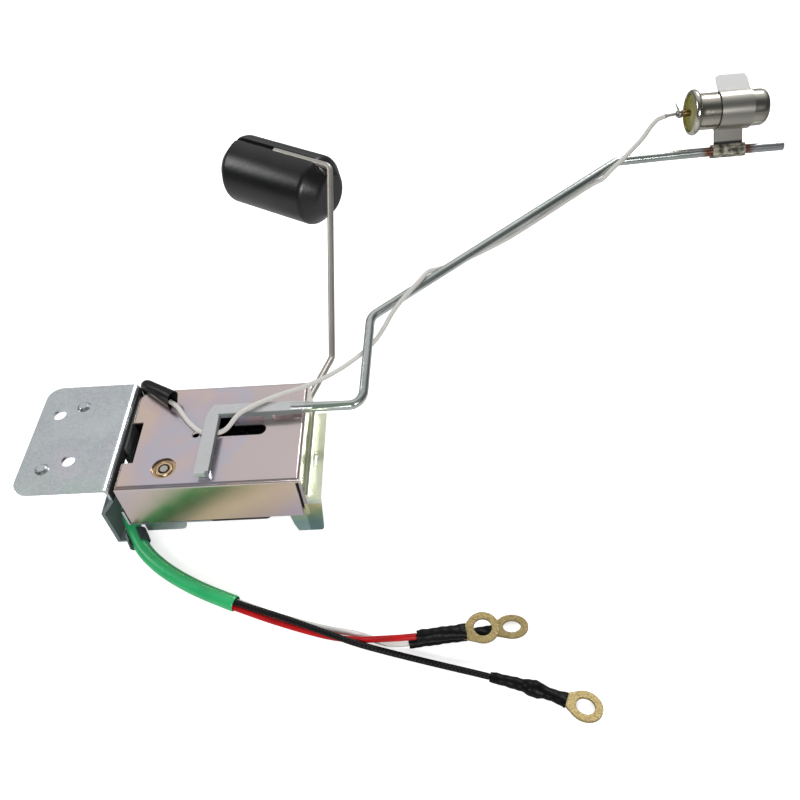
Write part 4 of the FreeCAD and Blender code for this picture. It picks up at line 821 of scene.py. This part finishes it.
# The ramp's last stop paints the flag white, a painted highlight.
color = ramp(tree, remap(tree, distance, axis_level - 0.003, axis_level + 0.026), [
    (0.18, (0.5, 0.5, 0.5)), (0.19, (0.03, 0.03, 0.03)), (0.205, (0.05, 0.05, 0.05)),
    (0.225, (0.50, 0.48, 0.43)), (0.79, (0.62, 0.60, 0.54)), (0.82, (1.0, 1.0, 0.99))])
crimped = step(tree, distance, axis_level + 0.0023, axis_level + 0.0021)
tree.links.new(blend(tree, crimped, color, patchy), shader.inputs["Base Color"])
# No metal on the flag, so its painted highlight stays white.
flag_highlight = step(tree, distance, axis_level + 0.0203, axis_level + 0.0206)
tree.links.new(remap(tree, flag_highlight, to_low=0.88, to_high=0.0), shader.inputs["Metallic"])
bump(tree, shader, mottle, 0.015, 0.0002)

can_nickel, tree, shader, place, _ = new_material("can nickel", (0.68, 0.65, 0.56), 0.2, 0.96)
cloudy = use(tree, clouds, Vector=place, Scale=70.0, Low=0.35, High=0.7)
along = measure(tree, "DOT_PRODUCT", place, tuple(TAIL_WAY))
off = calc(tree, "ABSOLUTE", calc(tree, "SUBTRACT", along, clip_edge))
clean = blend(tree, cloudy, (0.68, 0.65, 0.56), (0.6, 0.57, 0.48))
# A dark brown line where the clip's edge meets the can.
color = blend(tree, step(tree, off, 0.0006, 0.0001), clean, (0.05, 0.03, 0.02))
tree.links.new(color, shader.inputs["Base Color"])

# %% Plate, tray, cover, clip and rod
for node, skin, width in (("mounting_bracket", plate_zinc, 0.15), ("base_tray", tray_zinc, 0.12),
                          ("housing_cover", cover_film, 0.14),
                          ("thermistor_clip", clip_nickel, 0.12)):
    softened(node, skin, width)
    print(node, "in", skin.name)
softened("thermistor_rod", rod_zinc, 0.2, sharp=30)

# %% [markdown]
# ## The float
# The float is closed-cell foam: a barrel between two sloping rims, with one slot along its top,
# where the arm's wire is pressed in. Its section is a circle with the slot's outline cut into it.
# The same outline is used at every station, with the circle's radius taken from a rounded profile.

# %% Float surface
yaw = math.radians(-32.2)
FLOAT_AXIS = np.array([math.cos(yaw), math.sin(yaw), 0.0])
FLOAT_SIDE = np.array([-math.sin(yaw), math.cos(yaw), 0.0])
FLOAT_MIDDLE = np.array([63.0, 126.5, 14.2])


def rounded(corners, reach):
    """A line through corner points, each inner corner replaced by a small curve."""
    corners = np.array(corners, float)
    line = [corners[0]]
    share = np.linspace(0, 1, 8)[:, None]
    for before, corner, after in zip(corners[:-2], corners[1:-1], corners[2:]):
        start = corner + (before - corner) / np.linalg.norm(before - corner) * reach
        end = corner + (after - corner) / np.linalg.norm(after - corner) * reach
        line.extend((1 - share) ** 2 * start + 2 * share * (1 - share) * corner + share ** 2 * end)
    line.append(corners[-1])
    return np.array(line)


def float_profile(length=52.0, radius=14.25, slope=6.0, soft=1.4):
    """Stations and radii: a barrel between two sloping rims, each corner rounded, closed flat."""
    half = length / 2
    line = rounded([(-half, 0.01), (-half, radius - slope), (slope - half, radius),
                    (half - slope, radius), (half, radius - slope), (half, 0.01)], soft)
    return line[:, 0], line[:, 1]


def slotted_ring(radius, seat=13.2, half=1.32):
    """A circle with a slot of a given half width, its round bottom half a width below the seat."""
    gap = np.arcsin(np.clip(half / np.maximum(radius, half * 1.01), 0, 1))
    sweep = np.linspace(0, 1, 72)[None, :]
    angle = gap[:, None] + (2 * np.pi - 2 * gap[:, None]) * sweep
    circle_x = radius[:, None] * np.sin(angle)
    circle_y = radius[:, None] * np.cos(angle)
    bend = np.linspace(-np.pi / 2, np.pi / 2, 9)
    slot_x = np.r_[-half, half * np.sin(bend), half]
    slot_y = np.r_[seat + 0.6, seat - half * np.cos(bend), seat + 0.6]
    limit = np.sqrt(np.maximum(radius[:, None] ** 2 - slot_x[None] ** 2, 1e-8))
    slot_y = np.minimum(np.broadcast_to(slot_y, limit.shape), limit)
    slot_x = np.minimum(np.abs(slot_x)[None], radius[:, None]) * np.sign(slot_x)[None]
    return np.c_[circle_x, slot_x], np.c_[circle_y, slot_y]


stations, radii = float_profile()
across, rise = slotted_ring(radii)
points = (FLOAT_MIDDLE + stations[:, None, None] * FLOAT_AXIS + across[..., None] * FLOAT_SIDE
          + rise[..., None] * np.array([0, 0, 1.0])) * MM
float_mesh = grid_mesh("float_body", points, (stations, np.linspace(0, 90, points.shape[1] + 1)))
float_piece = add_piece("float_body", float_mesh, float_black, ("float",), body="arm")
print("float", len(float_mesh.polygons), "faces")

# %% [markdown]
# ## Arm, bushes and the parts inside
# These keep their CAD shape, which is already that of a turned or bent piece. Each gets its own
# finish through the material slots of the node's object. Only the top bush, which is seen from
# close by, is a softened copy.

# %% Finish the CAD nodes
softened("pivot_bush", bush_brass)
for node, skin in (("float_arm", arm_nickel), ("lower_bush", brass), ("wiper_hub", hub_cream),
                   ("wiper_blade", spring_bronze), ("wiper_contact", spring_bronze),
                   ("resistor_card", card_brown), ("resistance_winding", wound_wire),
                   ("element_frame", frame_dark), ("element_terminal", brass),
                   ("thermistor_terminal", terminal_metal)):
    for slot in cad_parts[node].material_slots:
        slot.material = skin
    print(node, "in", skin.name)

# %% [markdown]
# ## The sensor can
# The can is drawn from one piece of sheet, so its open end has a rolled bead and its closed end a
# round edge. A profile of radius against distance is swept along the can's axis. The seal inside
# the bead is a shallow dish of resin, and a bead of solder joins the lead to the pin.

# %% Can, seal and solder
def turned(name, profile, material, nodes):
    """A profile of (distance, radius) pairs in millimetres, turned about the can's axis."""
    profile = np.array(profile)
    low = profile[:, 0].min() - 0.5
    line = np.array([CAN_START + (low + k * 5.0) * TAIL_WAY for k in range(9)]) * MM
    mesh = swept(name, line, (profile[:, 0] - low) * MM, profile[:, 1] * MM, sides=64)
    return add_piece(name, mesh, material, nodes)


CAN_RADIUS, CAN_LENGTH = 6.25, 24.0
BEAD, ROUND = 1.25, 2.4  # radii of the rolled bead and of the closed end's edge
bead = [(-1.8 + BEAD * math.sin(a), 6.6 + BEAD * math.cos(a))
        for a in np.linspace(-np.pi / 2, np.pi / 2, 16)]
end_round = [(CAN_LENGTH - ROUND + ROUND * math.sin(a), CAN_RADIUS - ROUND + ROUND * math.cos(a))
             for a in np.linspace(0, np.pi / 2, 10)]
can_profile = ([(-0.9, 0.0), (-0.9, 6.9), (-3.0, 6.9)] + bead + [(-0.4, 6.32), (0.0, CAN_RADIUS)]
               + [(x, CAN_RADIUS) for x in np.linspace(1, 20.5, 14)] + end_round
               + [(CAN_LENGTH, 0.0)])
turned("sensor_can", can_profile, can_nickel, ("thermistor_can",))
seal_profile = [(-0.9, 0.0), (-0.9, 6.85), (-2.2, 6.8), (-2.0, 6.3), (-1.9, 4.5), (-2.1, 3.2),
                (-2.7, 2.6), (-2.8, 0.0)]
turned("sensor_seal", seal_profile, seal_resin, ("thermistor_seal",))
softened("solder_joint", solder_metal, 0.1)
print("can profile", len(can_profile), "points")

# %% [markdown]
# ## Light and ground
# A pale sheet under the part and a broad, even light give the clean catalogue look. The camera
# sees plain pale ground and a pale sky. The metals see more: ground that turns darker away from the
# part, and a sky with a slow gradient, so that they show light and dark bands. Light Path tells the
# two apart. A small dark patch, a painted shadow, lies on the ground where the camera looks through
# the gap at the cover's corner. Three soft lamps add the highlights on the folds.

# %% Ground
SIDE = 3.0  # metres from the middle of the ground to each side
ground_mesh = bpy.data.meshes.new("ground")
corners = [(x * SIDE, y * SIDE, FLOOR) for x, y in ((-1, -1), (1, -1), (1, 1), (-1, 1))]
ground_mesh.from_pydata(corners, [], [(0, 1, 2, 3)])
ground_skin, tree, shader, place, _ = new_material("ground paper", (0.9, 0.9, 0.9), 0.9)
seen = add(tree, "LightPath").outputs["Is Camera Ray"]
away = measure(tree, "DISTANCE", place, (0.06, 0.0, FLOOR))
sheet = ramp(tree, remap(tree, away, 0.0, 0.4), [
    (0.0, (0.86, 0.86, 0.86)), (0.3, (0.7, 0.7, 0.7)), (0.75, (0.14, 0.14, 0.14))])
# Painted shadow: a dark patch on the ground, seen through the gap at the cover's corner.
below = use(tree, box_mask, Vector=place, Centre=(0.0740, -0.0065, FLOOR),
            Half=(0.0040, 0.0080, 0.01))
paper = blend(tree, below, (0.92, 0.92, 0.92), (0.02, 0.02, 0.02))
tree.links.new(blend(tree, seen, sheet, paper), shader.inputs["Base Color"])
shader.inputs["Emission Color"].default_value = (1, 1, 1, 1)
glow = calc(tree, "MULTIPLY", remap(tree, seen, to_low=0.05, to_high=0.66),
            calc(tree, "SUBTRACT", 1.0, below))
tree.links.new(glow, shader.inputs["Emission Strength"])
ground_mesh.materials.append(ground_skin)
ground = bpy.data.objects.new("ground", ground_mesh)
bpy.context.scene.collection.objects.link(ground)

# %% Sky and lamps
world = bpy.data.worlds.new("studio")
bpy.context.scene.world = world
world.use_nodes = True
sky = world.node_tree
direction = add(sky, "TexCoord").outputs["Generated"]
lean = measure(sky, "DOT_PRODUCT", direction, (0.0, 0.62, 0.785))
shade = ramp(sky, remap(sky, lean, 0.3, 1.0), [
    (0.0, (0.04, 0.043, 0.045)), (0.3, (0.08, 0.085, 0.09)), (0.55, (0.3, 0.31, 0.32)),
    (0.78, (0.72, 0.72, 0.72)), (1.0, (0.82, 0.82, 0.82))])
seen = add(sky, "LightPath").outputs["Is Camera Ray"]
backdrop = sky.nodes["Background"]
sky.links.new(blend(sky, seen, shade, (1.0, 1.0, 1.0)), backdrop.inputs[0])
backdrop.inputs[1].default_value = 0.85


def lamp(name, place, aim, size, power):
    """A soft rectangular lamp at a place, turned to a point."""
    data = bpy.data.lights.new(name, "AREA")
    data.shape = "RECTANGLE"
    data.size, data.size_y = size
    data.energy = power
    light = bpy.data.objects.new(name, data)
    bpy.context.scene.collection.objects.link(light)
    light.location = place
    light.rotation_euler = (Vector(aim) - Vector(place)).to_track_quat("-Z", "Y").to_euler()


HOUSING = (0.06, 0.02, 0.0)
lamp("key", (0.5, 0.85, 0.9), HOUSING, (0.4, 0.3), 6.0)
lamp("left", (-0.75, 0.1, 0.5), HOUSING, (0.4, 0.3), 2.5)
lamp("front", (0.2, -0.75, 0.4), (0.08, 0.02, -0.02), (0.5, 0.15), 4.5)
print("lamps", [light.name for light in bpy.data.lights])
